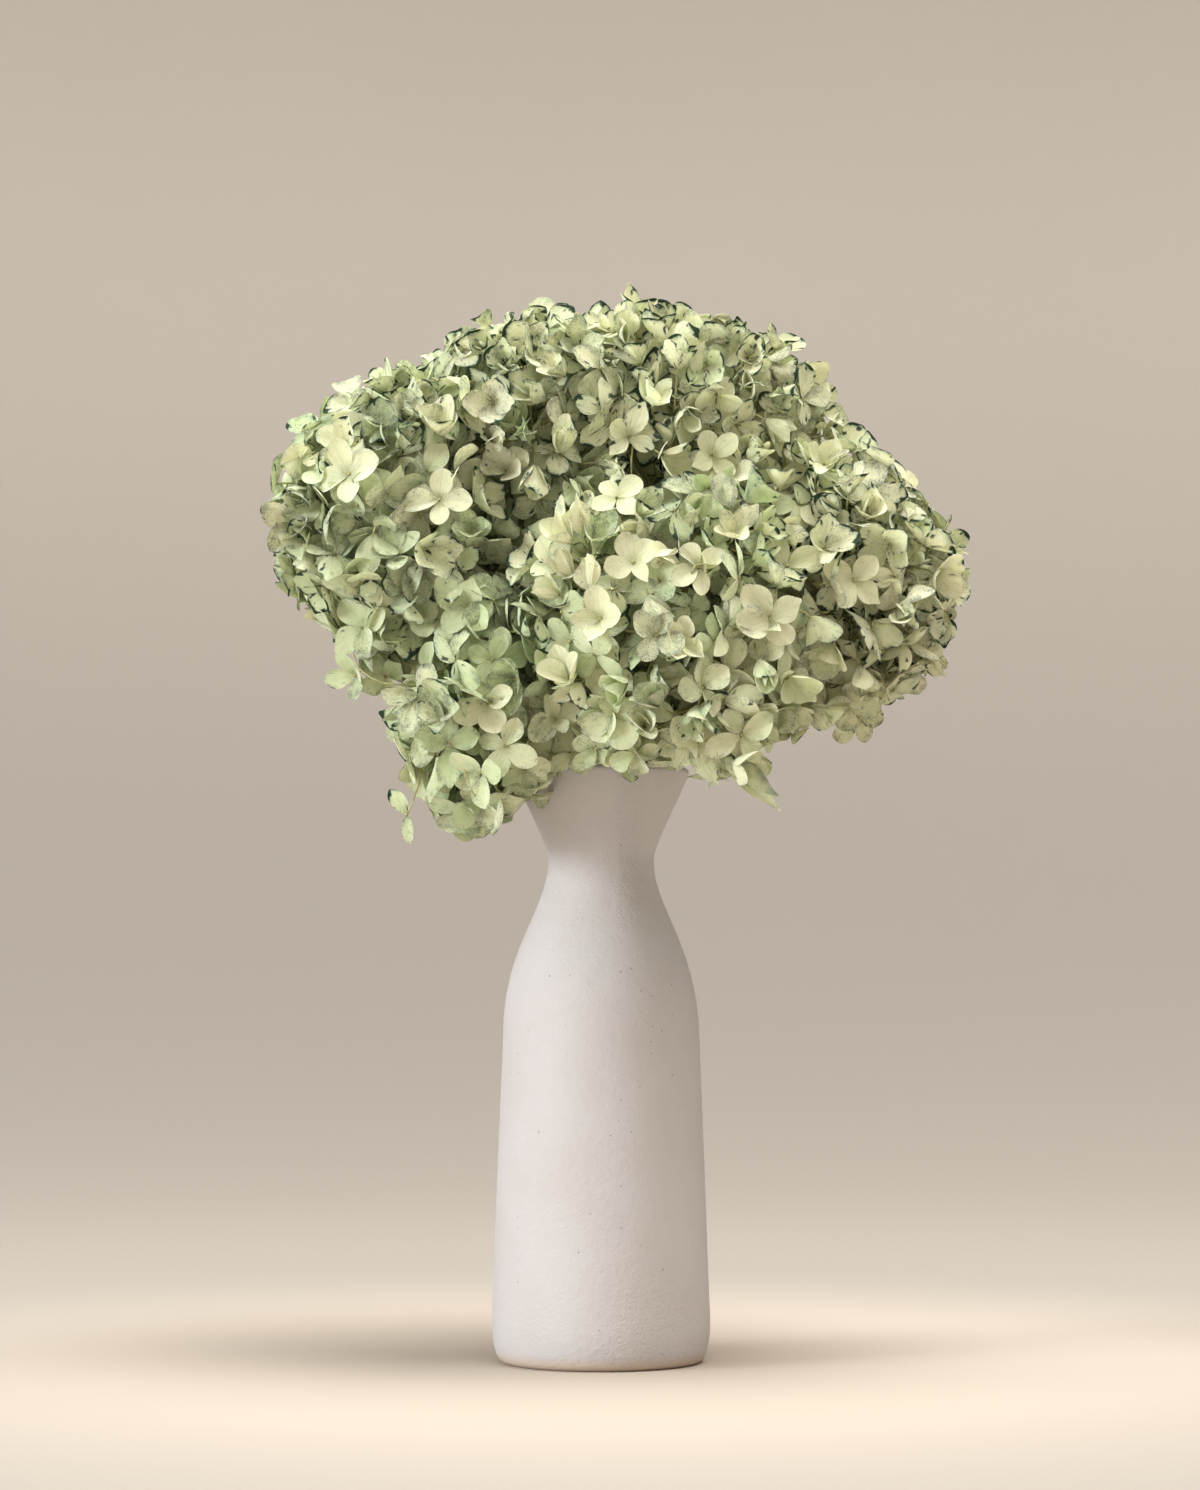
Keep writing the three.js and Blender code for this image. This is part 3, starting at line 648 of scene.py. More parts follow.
def clay_finish(settings):
    """Matte clay with a fine dimpled skin, faint clouding, a few pinholes and a sandy foot."""
    f = Finish("clay")
    place = f.coordinates()
    across, _, height = f.split(place)
    cloud = f.noise(place, 22.0, 3.0)
    warm = tuple(c * k for c, k in zip(settings.colour, WARM_CLAY))
    body = f.mix(f.step(cloud, 0.35, 0.68), settings.colour, warm)
    distance, chance = f.cells(place, 210.0)
    wide = f.step(chance, 0.5, 1.0) * 0.08 + 0.03
    pinhole = (1.0 - f.step(distance, wide * 0.5, wide)) * f.step(chance, 0.5, 0.55)
    body = f.mix(pinhole * 0.7, body, PINHOLE_BROWN)
    foot = 1.0 - f.step(height + cloud * 0.004, 0.003, 0.009)
    body = f.mix(foot * 0.8, body, FOOT_SAND)
    f.feed(f.shader, {"Base Color": body, "Roughness": cloud * 0.12 + 0.56, "Specular IOR Level": 0.35})

    # A sandier patch runs up the neck, a little to the right of the front.
    off_patch = abs(across - (cloud * 0.012 + 0.006))
    neck = f.step(height, 0.196, 0.215) * (1.0 - f.step(off_patch, 0.003, 0.009))
    sandy = f.step(f.noise(place, 14.0), 0.45, 0.65) * 0.5 + 0.5 + neck * 1.2
    fine = f.noise(place, 780.0, 3.0, 0.55)
    f.bump(fine * sandy + f.noise(place, 260.0) * 0.6 - pinhole * 0.8, 0.0007, 0.65)
    return f.material


def bark_finish(settings):
    """Dry bark with long pale cracks."""
    f = Finish("bark")
    u, v, _ = f.split(f.node("ShaderNodeUVMap", {}))
    grain = f.noise(f.join(u * 14.0, v * 9.0, 0.0), 1.0, 4.0, 0.6)
    pale = tuple(min(1, c * PALE_BARK) for c in settings.bark)
    f.feed(f.shader, {"Base Color": f.mix(f.step(grain, 0.38, 0.66), settings.bark, pale), "Roughness": 0.85})
    f.bump(grain, 0.0006, 0.7)
    return f.material


def studio_finish(settings):
    """A pale studio floor, painted darker away from the vase as painted shade, that turns slowly into the
    backdrop's colour.
    """
    f = Finish("studio")
    place = f.coordinates()
    x, y, z = f.split(place)
    away = f.math("SQRT", x * x + y * y)
    # Painted shade: from 0.12 m to 0.55 m out, the floor turns to a darker share of the backdrop's colour, so
    # the open floor looks no brighter than the floor in the bunch's shadow.
    painted_shade_floor = tuple(c * FAR_FLOOR_PAINTED_SHADE for c in settings.backdrop)
    colour = f.mix(f.step(away, 0.12, 0.55), settings.floor, painted_shade_floor)
    colour = f.mix(f.step(z, 0.0, 1.5), colour, settings.backdrop)
    colour = f.mix(f.noise(place, 1.6, 3.0) * 0.06, colour, FLOOR_CLOUD)
    f.feed(f.shader, {"Base Color": colour, "Roughness": 0.9, "Specular IOR Level": 0.2})
    return f.material


# --- The vase ---

# Where the vase's line turns, above the floor, and the radius at which the underside begins.
SHOULDER_HEIGHT, NECK_TOP = 0.157, 0.236
AXIS_RADIUS = 0.0004
VASE_SIDES = 160


def vase_side(vase, inset, foot):
    """The wall's line from foot to lip, moved in towards the axis by inset."""
    belly = vase.belly_radius - inset
    shoulder = vase.shoulder_radius - inset
    neck = vase.neck_radius - inset
    x, z = foot
    belly_low, body_top, neck_top = (belly, z + 0.020), (shoulder, SHOULDER_HEIGHT), (neck, NECK_TOP)
    foot_curve = bezier([foot, (x + 0.0035, z + 0.0006), (belly, z + 0.004), belly_low], 22)
    body = np.linspace(belly_low, body_top, 40)[1:]
    shoulder_curve = bezier([body_top, (shoulder - 0.0016, 0.197), (neck, 0.214), neck_top], 36)
    lip = (vase.rim_radius - inset, vase.height - vase.wall / 2)
    flared = (vase.rim_radius - 0.005 - inset, vase.height - 0.016)
    flare = bezier([neck_top, (neck, 0.2444), flared, lip], 30)
    return np.concatenate([[foot], foot_curve, body, shoulder_curve, flare])


def vase_profile(vase):
    """The whole section: underside, outside, lip, inside and inner floor."""
    floor = VASE_FLOOR * MM
    inner_foot = (vase.foot_radius - vase.wall, floor)
    turn = np.linspace(0, math.pi, 13)[1:-1]
    half = vase.wall / 2
    lip = [vase.rim_radius - half + half * np.cos(turn), vase.height - half + half * np.sin(turn)]
    return np.concatenate([
        np.linspace((AXIS_RADIUS, 0), (vase.foot_radius, 0), 14)[:-1],
        vase_side(vase, 0, (vase.foot_radius, 0)),
        np.stack(lip, axis=1),
        vase_side(vase, vase.wall, inner_foot)[::-1],
        np.linspace(inner_foot, (AXIS_RADIUS, floor), 14)[1:],
    ])


# Waves of the wall: size, how fast they run round it and, in radians per metre, up it, and their
# phase. The last are the rings that a wheel leaves, 11 mm apart.
WALL_WAVES = ((1, 2, 31, 0), (0.6, 3, -47, 1.3), (0.35, 5, 95, 0.4), (0.22, 0.8, 2 * math.pi / 0.011, 0))


def hand_made(points, amount):
    """Moves a turned wall in and out a little, as hands and a wheel leave it."""
    x, y, z = points.T
    turn = np.arctan2(y, x)
    wander = sum(size * np.sin(n * turn + rise * z + phase) for size, n, rise, phase in WALL_WAVES)
    above_foot = np.clip(z / 0.02, 0, 1)
    scale = 1 + amount * wander * above_foot / np.maximum(np.hypot(x, y), 0.01) / 2
    return np.stack([x * scale, y * scale, z], axis=1)


class HYDRANGEAS_OT_vase(bpy.types.Operator):
    """Turn the bottle vase"""

    bl_idname = "hydrangeas.vase"
    bl_label = "Vase"

    def execute(self, context):
        vase = context.scene.hydrangea_vase
        points, quads, corners = lathe(vase_profile(vase), VASE_SIDES)
        shell = QuadMesh()
        shell.add(hand_made(points, vase.unevenness)[None], quads, corners, 0)
        piece = shell.build("bottle_vase", [clay_finish(vase)])
        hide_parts("vase")
        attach(piece, "root")
        return {"FINISHED"}


# --- The stems ---

STEM_RINGS, STEM_SIDES = 90, 16


def stem_controls(head):
    """The points a stem passes, from the vase's floor to its tip inside the head, in mm."""
    turn = math.radians(head["slot"])
    across = np.array([math.cos(turn), math.sin(turn)])
    centre = np.array(head["centre"], float)
    off_axis = np.linalg.norm(centre[:2])
    low, high, over = STEM_HEIGHTS
    over_lip = np.r_[centre[:2] / off_axis * min(off_axis, head["ring"] + LIP_LEAN), over]
    return [
        np.r_[across * (head["ring"] + STEM_SPREAD), VASE_FLOOR + RESTS_ON_FLOOR],
        np.r_[across * head["ring"], low],
        np.r_[across * head["ring"], high],
        over_lip,
        centre + (over_lip - centre) * STEM_DEPTH,
    ]


class HYDRANGEAS_OT_stems(bpy.types.Operator):
    """Grow the cut stems from the vase's floor into the heads"""

    bl_idname = "hydrangeas.stems"
    bl_label = "Stems"

    def execute(self, context):
        settings = context.scene.hydrangea_stems
        bark = bark_finish(settings)
        along = np.linspace(0, 1, STEM_RINGS)
        for number, (name, head) in enumerate(HEADS.items()):
            draw = np.random.default_rng(STEM_SEED + number)
            path = curve_through(stem_controls(head), STEM_RINGS) * MM
            knots = draw.uniform(0.1, 0.95, 4)
            swell = sum(np.exp(-(((along - k) / 0.012) ** 2)) for k in knots)
            radius = settings.radius * (1 - 0.12 * along + 0.14 * swell + 0.02 * draw.normal(size=STEM_RINGS))
            stem = QuadMesh()
            stem.add_tubes(path[None], radius, STEM_SIDES, 0)
            piece = stem.build(f"cut_stem_{name}", [bark])
            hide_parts(f"stem_{name}")
            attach(piece, "root")
        return {"FINISHED"}


# --- The florets ---


class SepalGrid:
    """A square grid rounded into a disc, as x across and y from base to tip, and its quads.

    The upper and the lower skin share the rim, so that a sepal is a closed shell.
    """

    def __init__(self, lines):
        line = np.linspace(-1, 1, lines)
        b, a = np.meshgrid(line, line, indexing="ij")
        self.x, self.y = (a * np.sqrt(1 - b * b / 2)).ravel(), (b * np.sqrt(1 - a * a / 2)).ravel()
        self.rim = np.sqrt(np.clip(self.x**2 + self.y**2, 0, 1))
        self.inner = ((np.abs(a) < 1) & (np.abs(b) < 1)).ravel()
        number = np.arange(lines * lines).reshape(lines, lines)
        upper = np.stack([number[:-1, :-1], number[:-1, 1:], number[1:, 1:], number[1:, :-1]], axis=2)
        upper = upper.reshape(-1, 4)
        below = number.ravel().copy()
        below[self.inner] = lines * lines + np.arange(self.inner.sum())
        self.quads = np.concatenate([upper, below[upper][:, ::-1]])
        square = np.stack([(self.x + 1) / 2, (self.y + 1) / 2], axis=1)
        self.corners = np.zeros((2 * len(upper), 4, 3))
        self.corners[: len(upper), :, :2] = square[upper]
        self.corners[len(upper) :, :, :2] = square[upper][:, ::-1]
        self.corners[len(upper) :, :, 2] = 1


# A few places on a sepal stand for it when florets are kept apart.
PROBE_Y, PROBE_X = np.repeat((-0.35, 0.15, 0.62, 0.97), 3), np.tile((-0.75, 0, 0.75), 4)
PROBE_X = PROBE_X * np.sqrt(1 - PROBE_Y**2)

# Kinds of floret: its share, then means and spreads of how far the sepals tip up in degrees, of
# their bend along, and of their cup across.
KINDS = (
    (0.31, (34, 10), (0.16, 0.14), (0.34, 0.14)),
    (0.24, (13, 8), (0.02, 0.10), (0.20, 0.10)),
    (0.25, (64, 10), (0.16, 0.14), (0.42, 0.14)),
    (0.20, (-6, 10), (-0.22, 0.10), (0.12, 0.12)),
)

# A floret: how far its sepals' bases are from its middle and the second pair lies over the first,
# how far it may stray along and across, how unevenly its sepals tip and turn in degrees and a
# marked floret spins in radians, and how much its look and each sepal's look vary.
BASE_GAP, OVERLAP = 0.0007, 0.0005
STRAY_ALONG, STRAY_ACROSS = 0.0022, 0.0014
LIFT_SPREAD, TURN_SPREAD, SPIN_SPREAD = 11, 8, 0.1
LOOK_SPREAD, SEPAL_LOOK_SPREAD = (0.17, 0.22, 0.24), (0.08, 0.16, 0.12)
SUNLIT_LOOK = (0, 0.05, 0.22)

# Florets further apart than this miss each other for certain, and those whose probes are further
# apart than this in mm don't crowd. Then what a mm into a wall and a mm past the edge cost.
CERTAIN_MISS, CROWDING = 0.032, 2.0
WALL_COST, EDGE_COST = 2, 0.9

# Least room for a floret's root, least distance from a marked floret, the area that a floret
# covers as a share of its spacing squared, and how squarely it may face the vase's mouth.
LEAST_ROOM, MARKED_ROOM, COVER, MOUTH = 0.003, 0.013, 0.87, 0.95

# How far past the front view's edge a root may be, the clear space around an opening in mm and
# how much it grows with each layer, and the clear collar round the neck: how far it starts below
# the lip, and its radius.
EDGE_SLACK, OPENING_MARGIN, OPENING_GROWTH = 0.002, 7, 2
COLLAR_DROP, COLLAR_RADIUS = 0.045, 0.040

# How deep marked florets lie in a head, in mm, and how loosely they face. Then how loosely the
# others face, in all and per layer, and how unevenly they are spread.
MARKED_DEPTH, MARKED_LOOSE = 6, 0.05
LOOSE, LOOSER, DISORDER = 0.60, 0.04, 0.35

# How fast one head's surface gives way to another's, and how far its florets turn away from it.
BLEND, TURN_AWAY = 6, 0.25

# The bead in a floret: least radius, how much larger it may be, and its height. Then a head's
# branches: how many, how deep they end as a share of the reach, their radii, and how far along and
# up they bend. Then where a floret's stalk bends, and how much thicker it is at its foot.
EYE_RADIUS, EYE_GROWTH, EYE_HEIGHT = 0.0007, 0.0003, 0.0009
BRANCHES, BRANCH_DEPTH, BRANCH_RADII = 14, 0.55, (0.0022, 0.0011)
BRANCH_BEND, BRANCH_RISE = 0.35, 0.006
STALK_BEND, STALK_TAPER = 0.4, 1.7


def draw_sepals(draw, count, length, kind):
    """The seeded traits of many sepals, each an array of one value per sepal."""
    size = length * draw.uniform(0.84, 1.18, count)
    bend, cup = (np.array([KINDS[k][field] for k in kind]) for field in (2, 3))
    folded = draw.random(count) < 0.12
    return dict(
        length=size,
        width=size * draw.uniform(0.72, 1.04, count),
        narrow=draw.uniform(0.25, 0.60, count),
        point=draw.uniform(0.0, 0.07, count) + 0.13 * (draw.random(count) < 0.16),
        cup=draw.normal(cup[:, 0], cup[:, 1]),
        bend=draw.normal(bend[:, 0], bend[:, 1]),
        wave=draw.uniform(0.0, 0.45, count) * MM,
        phase=draw.uniform(0, 2 * math.pi, count),
        waves=draw.integers(2, 4, count).astype(float),
        twist=draw.normal(0, 0.28, count),
        skew=draw.normal(0, 0.09, count),
        fold=np.where(folded, draw.uniform(0.2, 0.55, count), 0.0),
    )


def sepal_surface(traits, x, y):
    """Places of the grid points x, y on every sepal: base at the origin, tip along +Y, face up."""
    t = {key: value[:, None] for key, value in traits.items()}
    rise = (y + 1) / 2
    rim = x * x + y * y
    half = t["width"] / 2
    across = x * half * (1 - t["narrow"] * (1 - rise) ** 2) * (1 - 0.9 * t["point"] * rise**4)
    across = across + t["skew"] * t["length"] * rise**2
    along = t["length"] * (rise + t["point"] * np.exp(-((x / 0.3) ** 2)) * rise**6)
    turn = np.arctan2(y, x)
    up = t["cup"] * half * x * x + t["fold"] * half * np.sqrt(x * x + 0.01)
    up = up + t["bend"] * t["length"] * rise**2 + t["wave"] * np.sin(t["waves"] * turn + t["phase"]) * rim**2
    spin = t["twist"] * (rise - 0.3)
    c, s = np.cos(spin), np.sin(spin)
    return np.stack([across * c - up * s, along, up * c + across * s], axis=2)


def into_floret(points, turn, lift, offset):
    """Sets sepals round a floret's middle: tipped up by lift, turned, and out by offset."""
    turn, lift, offset = turn[:, None], lift[:, None], offset[:, None]
    x, y, z = points[..., 0], points[..., 1], points[..., 2]
    out = y * np.cos(lift) - z * np.sin(lift) + BASE_GAP
    up = y * np.sin(lift) + z * np.cos(lift) + offset
    c, s = np.cos(turn), np.sin(turn)
    return np.stack([x * c - out * s, x * s + out * c, up], axis=2)


def set_out(points, frames, roots):
    """Turns each row of points by its frame and moves it to its root."""
    return np.einsum("kij,knj->kni", frames, points) + roots[:, None]


def facing_frames(facing, spin):
    """Rotation matrices that take +Z to each facing direction, after a spin about it."""
    helper = np.where(np.abs(facing[:, 2:]) < 0.9, [[0.0, 0.0, 1.0]], [[1.0, 0.0, 0.0]])
    a = normalised(np.cross(helper, facing))
    b = np.cross(facing, a)
    c, s = np.cos(spin)[:, None], np.sin(spin)[:, None]
    return np.stack([a * c + b * s, b * c - a * s, facing], axis=2)


def bead():
    """A cube of 24 quads rounded into a ball, as its points and quads."""
    number, quads = {}, []
    for axis in range(3):
        for side in (-1, 1):
            for i, j in ((0, 0), (0, 1), (1, 0), (1, 1)):
                face = []
                for di, dj in ((0, 0), (1, 0), (1, 1), (0, 1)):
                    corner = [side, i + di - 1, j + dj - 1]
                    corner = tuple(corner[-axis:] + corner[:-axis])
                    face.append(number.setdefault(corner, len(number)))
                quads.append(face[::side])
    return normalised(np.array(list(number), float)), np.array(quads)


class Head:
    """A flower head's space: an ellipsoid, cut off where it meets its neighbours."""

    def __init__(self, name, data):
        self.name = name
        self.centre = np.array(data["centre"], float) * MM
        self.reach = np.array(data["reach"], float) * MM
        self.look = np.array(data["look"])
        self.droop, self.size = data["droop"], data["size"]
        c, s = math.cos(math.radians(data["lean"])), math.sin(math.radians(data["lean"]))
        self.turn = np.array([[c, 0, s], [0, 1, 0], [-s, 0, c]])
        self.stem_tip = np.array(stem_controls(data)[-1]) * MM

    def surface(self, directions, inset):
        """Points and outward directions at a depth below the reach."""
        size = self.reach - inset
        points = self.centre + (directions * size) @ self.turn.T
        return points, normalised((directions / size) @ self.turn.T)

    def along(self, direction):
        """How far the reach is from the centre in a direction."""
        return 1 / np.linalg.norm((self.turn.T @ direction) / self.reach)


def meeting_planes(head, heads):
    """For each neighbour, the plane where the two heads meet: a point on it and its normal."""
    planes = []
    for other in heads:
        if other is not head:
            towards = other.centre - head.centre
            distance = np.linalg.norm(towards)
            normal = towards / distance
            own, theirs = head.along(normal), other.along(-normal)
            planes.append((head.centre + normal * distance * own / (own + theirs), normal))
    return planes


def even_directions(count, draw):
    """Evenly spread directions with a random turn and a little disorder."""
    k = np.arange(count) + 0.5
    z = 1 - 2 * k / count
    level = np.sqrt(1 - z * z)
    turn = k * math.pi * (3 - math.sqrt(5))
    spread = np.stack([level * np.cos(turn), level * np.sin(turn), z], axis=1)
    basis, _ = np.linalg.qr(draw.normal(size=(3, 3)))
    return normalised(spread @ basis + draw.normal(size=(count, 3)) * DISORDER / math.sqrt(count))


class Bunch:
    """Sets florets one at a time, so that each misses those already set."""

    def __init__(self, settings, vase, stage):
        self.settings = settings
        self.vase = vase
        self.eye = np.array([0, -stage.camera_distance, stage.camera_height])
        self.heads = [Head(name, data) for name, data in HEADS.items()]
        self.named = {head.name: head for head in self.heads}
        self.florets = {name: [] for name in HEADS}
        self.centres = np.zeros((0, 3))
        self.probes = np.zeros((0, 4 * len(PROBE_X), 3))
        low, high = (np.array(corner) for corner in CAD_BOX)
        self.low, self.high = low - 0.001, high + 0.001

    def seen(self, points):
        """Where the front view shows points, in the plane of the vase's axis: across and up."""
        rays = points - self.eye
        return (self.eye + rays * (-self.eye[1] / rays[..., 1:2]))[..., ::2]

    def on_head(self, head, across, up, inset):
        """The near point of a head's surface that the front view shows at a place."""
        size = head.reach - inset * MM
        ray = normalised(np.array([across, 0, up]) * MM - self.eye) @ head.turn
        start = (self.eye - head.centre) @ head.turn
        along, from_centre = ray / size, start / size
        a, b, c = along @ along, along @ from_centre, from_centre @ from_centre - 1
        root = b * b - a * c
        distance = (-b - math.sqrt(root)) / a if root > 0 else -b / a
        return head.centre + (start + ray * distance) @ head.turn.T

    def past_edge(self, points):
        """How far the front view shows points past the bunch's edge."""
        edge = np.array(FRONT_EDGE, float) * MM
        across, up = self.seen(points)[..., 0], self.seen(points)[..., 1]
        low, high = (np.interp(across, edge[:, 0], edge[:, row]) for row in (1, 2))
        sides = np.clip(edge[0, 0] - across, 0, None) + np.clip(across - edge[-1, 0], 0, None)
        return np.clip(low - up, 0, None) + np.clip(up - high, 0, None) + sides

    def into_vase(self, points):
        """How far points are inside the vase's outer wall."""
        line = vase_side(self.vase, 0, (self.vase.foot_radius, 0))
        height = points[..., 2]
        wall = np.where(height > self.vase.height + 0.002, -1.0, np.interp(height, line[:, 1], line[:, 0]))
        return np.clip(wall + 0.001 - np.hypot(points[..., 0], points[..., 1]), 0, None)

    def clash(self, candidates):
        """How badly each candidate's probe points crowd other florets, the vase and the edges."""
        middle = candidates.mean(axis=(0, 1))
        near = np.linalg.norm(self.centres - middle, axis=1) < CERTAIN_MISS
        cost = np.zeros(len(candidates))
        if near.any():
            ours = (candidates - middle).reshape(-1, 3) / MM
            others = (self.probes[near].reshape(-1, 3) - middle) / MM
            square = (ours**2).sum(axis=1)[:, None] + (others**2).sum(axis=1)[None] - 2 * ours @ others.T
            gap = np.sqrt(np.clip(square.min(axis=1), 0, None)).reshape(len(candidates), -1)
            cost += (np.clip(1 - gap / CROWDING, 0, None) ** 2).sum(axis=1)
        outside = np.clip(self.low - candidates, 0, None) + np.clip(candidates - self.high, 0, None)
        cost += outside.sum(axis=(1, 2)) / MM * WALL_COST
        cost += self.past_edge(candidates).sum(axis=1) / MM * EDGE_COST
        return cost + self.into_vase(candidates).sum(axis=1) / MM * WALL_COST

    def set_floret(self, head, root, facing, draw, loose, size=1.0, lift=None, spin=None, mood=None, lines=8):
        """Tries a few seeded ways to set a floret at a root and keeps the one that clashes least."""
        tries = self.settings.tries
        n = 4 * tries
        kind = draw.choice(len(KINDS), tries, p=[share for share, *_ in KINDS])
        if lift is not None:
            kind = np.full(tries, np.argmin([abs(lift - tip[0]) for _, tip, *_ in KINDS]))
        traits = draw_sepals(draw, n, self.settings.sepal_length * size, np.repeat(kind, 4))
        tips = np.array([KINDS[k][1] for k in kind], float)
        openness = draw.normal(tips[:, 0], tips[:, 1]) if lift is None else np.full(tries, float(lift))
        lifts = np.radians(np.repeat(openness, 4) + draw.normal(0, LIFT_SPREAD, n))
        turns = np.tile(np.arange(4) * math.pi / 2, tries) + np.radians(draw.normal(0, TURN_SPREAD, n))
        offsets = np.tile([0, OVERLAP, 0, OVERLAP], tries)
        if spin is None:
            spins = draw.uniform(0, 2 * math.pi, tries)
        else:
            spins = math.radians(spin) + draw.normal(0, SPIN_SPREAD, tries)
        faces = normalised(facing + draw.normal(size=(tries, 3)) * loose)
        frames = facing_frames(faces, spins)
        roots = root + faces * draw.normal(0, STRAY_ALONG, (tries, 1))
        roots = roots + draw.normal(size=(tries, 3)) * STRAY_ACROSS

        local = into_floret(sepal_surface(traits, PROBE_X, PROBE_Y), turns, lifts, offsets)
        probes = set_out(local.reshape(tries, -1, 3), frames, roots)
        best = int(np.argmin(self.clash(probes)))
        four = slice(4 * best, 4 * best + 4)
        if mood is None:
            mood = head.look + faces[best, 2] * np.array(SUNLIT_LOOK) + draw.normal(size=3) * LOOK_SPREAD
        self.florets[head.name].append(dict(
            lines=lines,
            traits={key: value[four] for key, value in traits.items()},
            turns=turns[four],
            lifts=lifts[four],
            offsets=offsets[four],
            frame=frames[best],
            root=roots[best],
            moods=np.array(mood) + draw.normal(size=(4, 3)) * SEPAL_LOOK_SPREAD,
        ))
        self.centres = np.concatenate([self.centres, probes[best].mean(axis=0)[None]])
        self.probes = np.concatenate([self.probes, probes[best][None]])

    def set_marked(self):
        """Sets the florets that stand out from the front."""
        rows = ((self.named[name], row) for name, florets in MARKED_FLORETS for row in florets)
        for number, (head, (across, up, facing, lift, spin, size, mood)) in enumerate(rows):
            draw = np.random.default_rng(MARKED_SEED + number)
            root = self.on_head(head, across, up, MARKED_DEPTH)
            facing = normalised(np.array(facing))
            self.set_floret(head, root, facing, draw, MARKED_LOOSE, size, lift, spin, mood)

    def set_lone(self):
        """Sets the sepals that hang clear of the bunch."""
        draw = np.random.default_rng(LONE_SEED)
        for name, middle, facing, sepals in LONE_SEPALS:
            turns, lifts, lengths, widths, points, moods = (np.array(column) for column in zip(*sepals))
            traits = draw_sepals(draw, len(sepals), 1.0, [1] * len(sepals))
            traits.update(length=lengths * MM, width=widths * MM, point=points)
            self.florets[name].append(dict(
                lines=8,
                traits=traits,
                turns=np.radians(turns),
                lifts=np.radians(lifts),
                offsets=np.arange(len(sepals)) * OVERLAP,
                frame=facing_frames(normalised(np.array([facing])), np.zeros(1))[0],
                root=np.array(middle) * MM,
                moods=moods,
            ))

    def room(self, head, root, depth):
        """How far a root is from the places that no floret may take."""
        if self.past_edge(root) > EDGE_SLACK:
            return 0
        within = min((point - root) @ normal for point, normal in meeting_planes(head, self.heads))
        if root[1] < head.centre[1]:
            for across, up, radius, layers in OPENINGS:
                if depth < layers:
                    apart = np.linalg.norm(self.seen(root) - np.array([across, up]) * MM)
                    clear = radius + OPENING_MARGIN + OPENING_GROWTH * depth
                    within = min(within, apart - clear * MM + LEAST_ROOM)
        if root[2] < self.vase.height - COLLAR_DROP:
            within = min(within, math.hypot(root[0], root[1]) - COLLAR_RADIUS)
        return within

    def joined_surface(self, head, directions, inset):
        """A head's surface, raised where it grows into a joined head, and where florets face."""
        points, outward = head.surface(directions, inset)
        rise = np.zeros(len(points))
        facing = outward.copy()
        for other in self.heads:
            if other is head:
                continue
            size = other.reach - inset
            local = (points - other.centre) @ other.turn / size
            beyond = np.linalg.norm(local, axis=1) - 1
            close = np.exp(-BLEND * np.clip(beyond, 0, None))[:, None]
            other_way = normalised(local / size @ other.turn.T)
            if {head.name, other.name} in JOINED_HEADS:
                rise += np.exp(-BLEND * beyond)
                facing = facing + close * other_way
            else:
                facing = facing - TURN_AWAY * close * other_way
        lift = np.log1p(np.clip(rise, 0, 1.5)) / BLEND
        return points + (points - head.centre) * lift[:, None], normalised(facing)

    def fill(self):
        """Fills every head: the marked florets, then all the outer layers, then the inner ones."""
        self.set_marked()
        self.set_lone()
        marked = self.centres.copy()
        for depth, (inset, spacing, lines) in enumerate(LAYERS):
            for number, head in enumerate(self.heads):
                draw = np.random.default_rng(LAYER_SEED * depth + number)
                mean = head.reach.mean() - inset * MM
                count = round(4 * math.pi * mean**2 / (COVER * (spacing * MM) ** 2))
                points, outward = self.joined_surface(head, even_directions(count, draw), inset * MM)
                mouth = normalised(np.array([0, 0, self.vase.height]) - head.centre)
                for root, facing in zip(points, outward):
                    if self.room(head, root, depth) < LEAST_ROOM or facing @ mouth > MOUTH:
                        continue
                    if depth == 0 and np.linalg.norm(marked - root, axis=1).min() < MARKED_ROOM:
                        continue
                    facing = normalised(facing + [0, 0, -head.droop])
                    self.set_floret(head, root, facing, draw, LOOSE + LOOSER * depth, head.size, lines=lines)

    def build_head(self, head, materials):
        """One mesh of closed shells: a head's sepals, eyes, stalks and branches."""
        florets = self.florets[head.name]
        mesh = QuadMesh()
        for lines in sorted({floret["lines"] for floret in florets}):
            self.add_sepals(mesh, [f for f in florets if f["lines"] == lines], SepalGrid(lines))
        self.add_eyes(mesh, florets)
        self.add_stalks(mesh, head, [f for f in florets if len(f["turns"]) == 4])
        for name, radius, points in BARE_STALKS:
            if name == head.name:
                mesh.add_tubes(curve_through(points, 24)[None] * MM, radius, 6, 1)
        return mesh.build(f"flower_head_{head.name}", materials)

    def add_sepals(self, mesh, florets, grid):
        """Adds every sepal as a thin closed shell, with its place, look and disc for the finish."""
        traits = {key: np.concatenate([f["traits"][key] for f in florets]) for key in florets[0]["traits"]}
        turns, lifts, offsets, moods = (
            np.concatenate([f[key] for f in florets]) for key in ("turns", "lifts", "offsets", "moods")
        )
        upper = sepal_surface(traits, grid.x, grid.y)
        lower = upper.copy()
        lower[..., 2] -= self.settings.sepal_thickness * (1 - grid.rim**6)
        flat = np.concatenate([upper, lower[:, grid.inner]], axis=1)
        sepals = [len(f["turns"]) for f in florets]
        frames, roots = (np.repeat([f[key] for f in florets], sepals, axis=0) for key in ("frame", "root"))

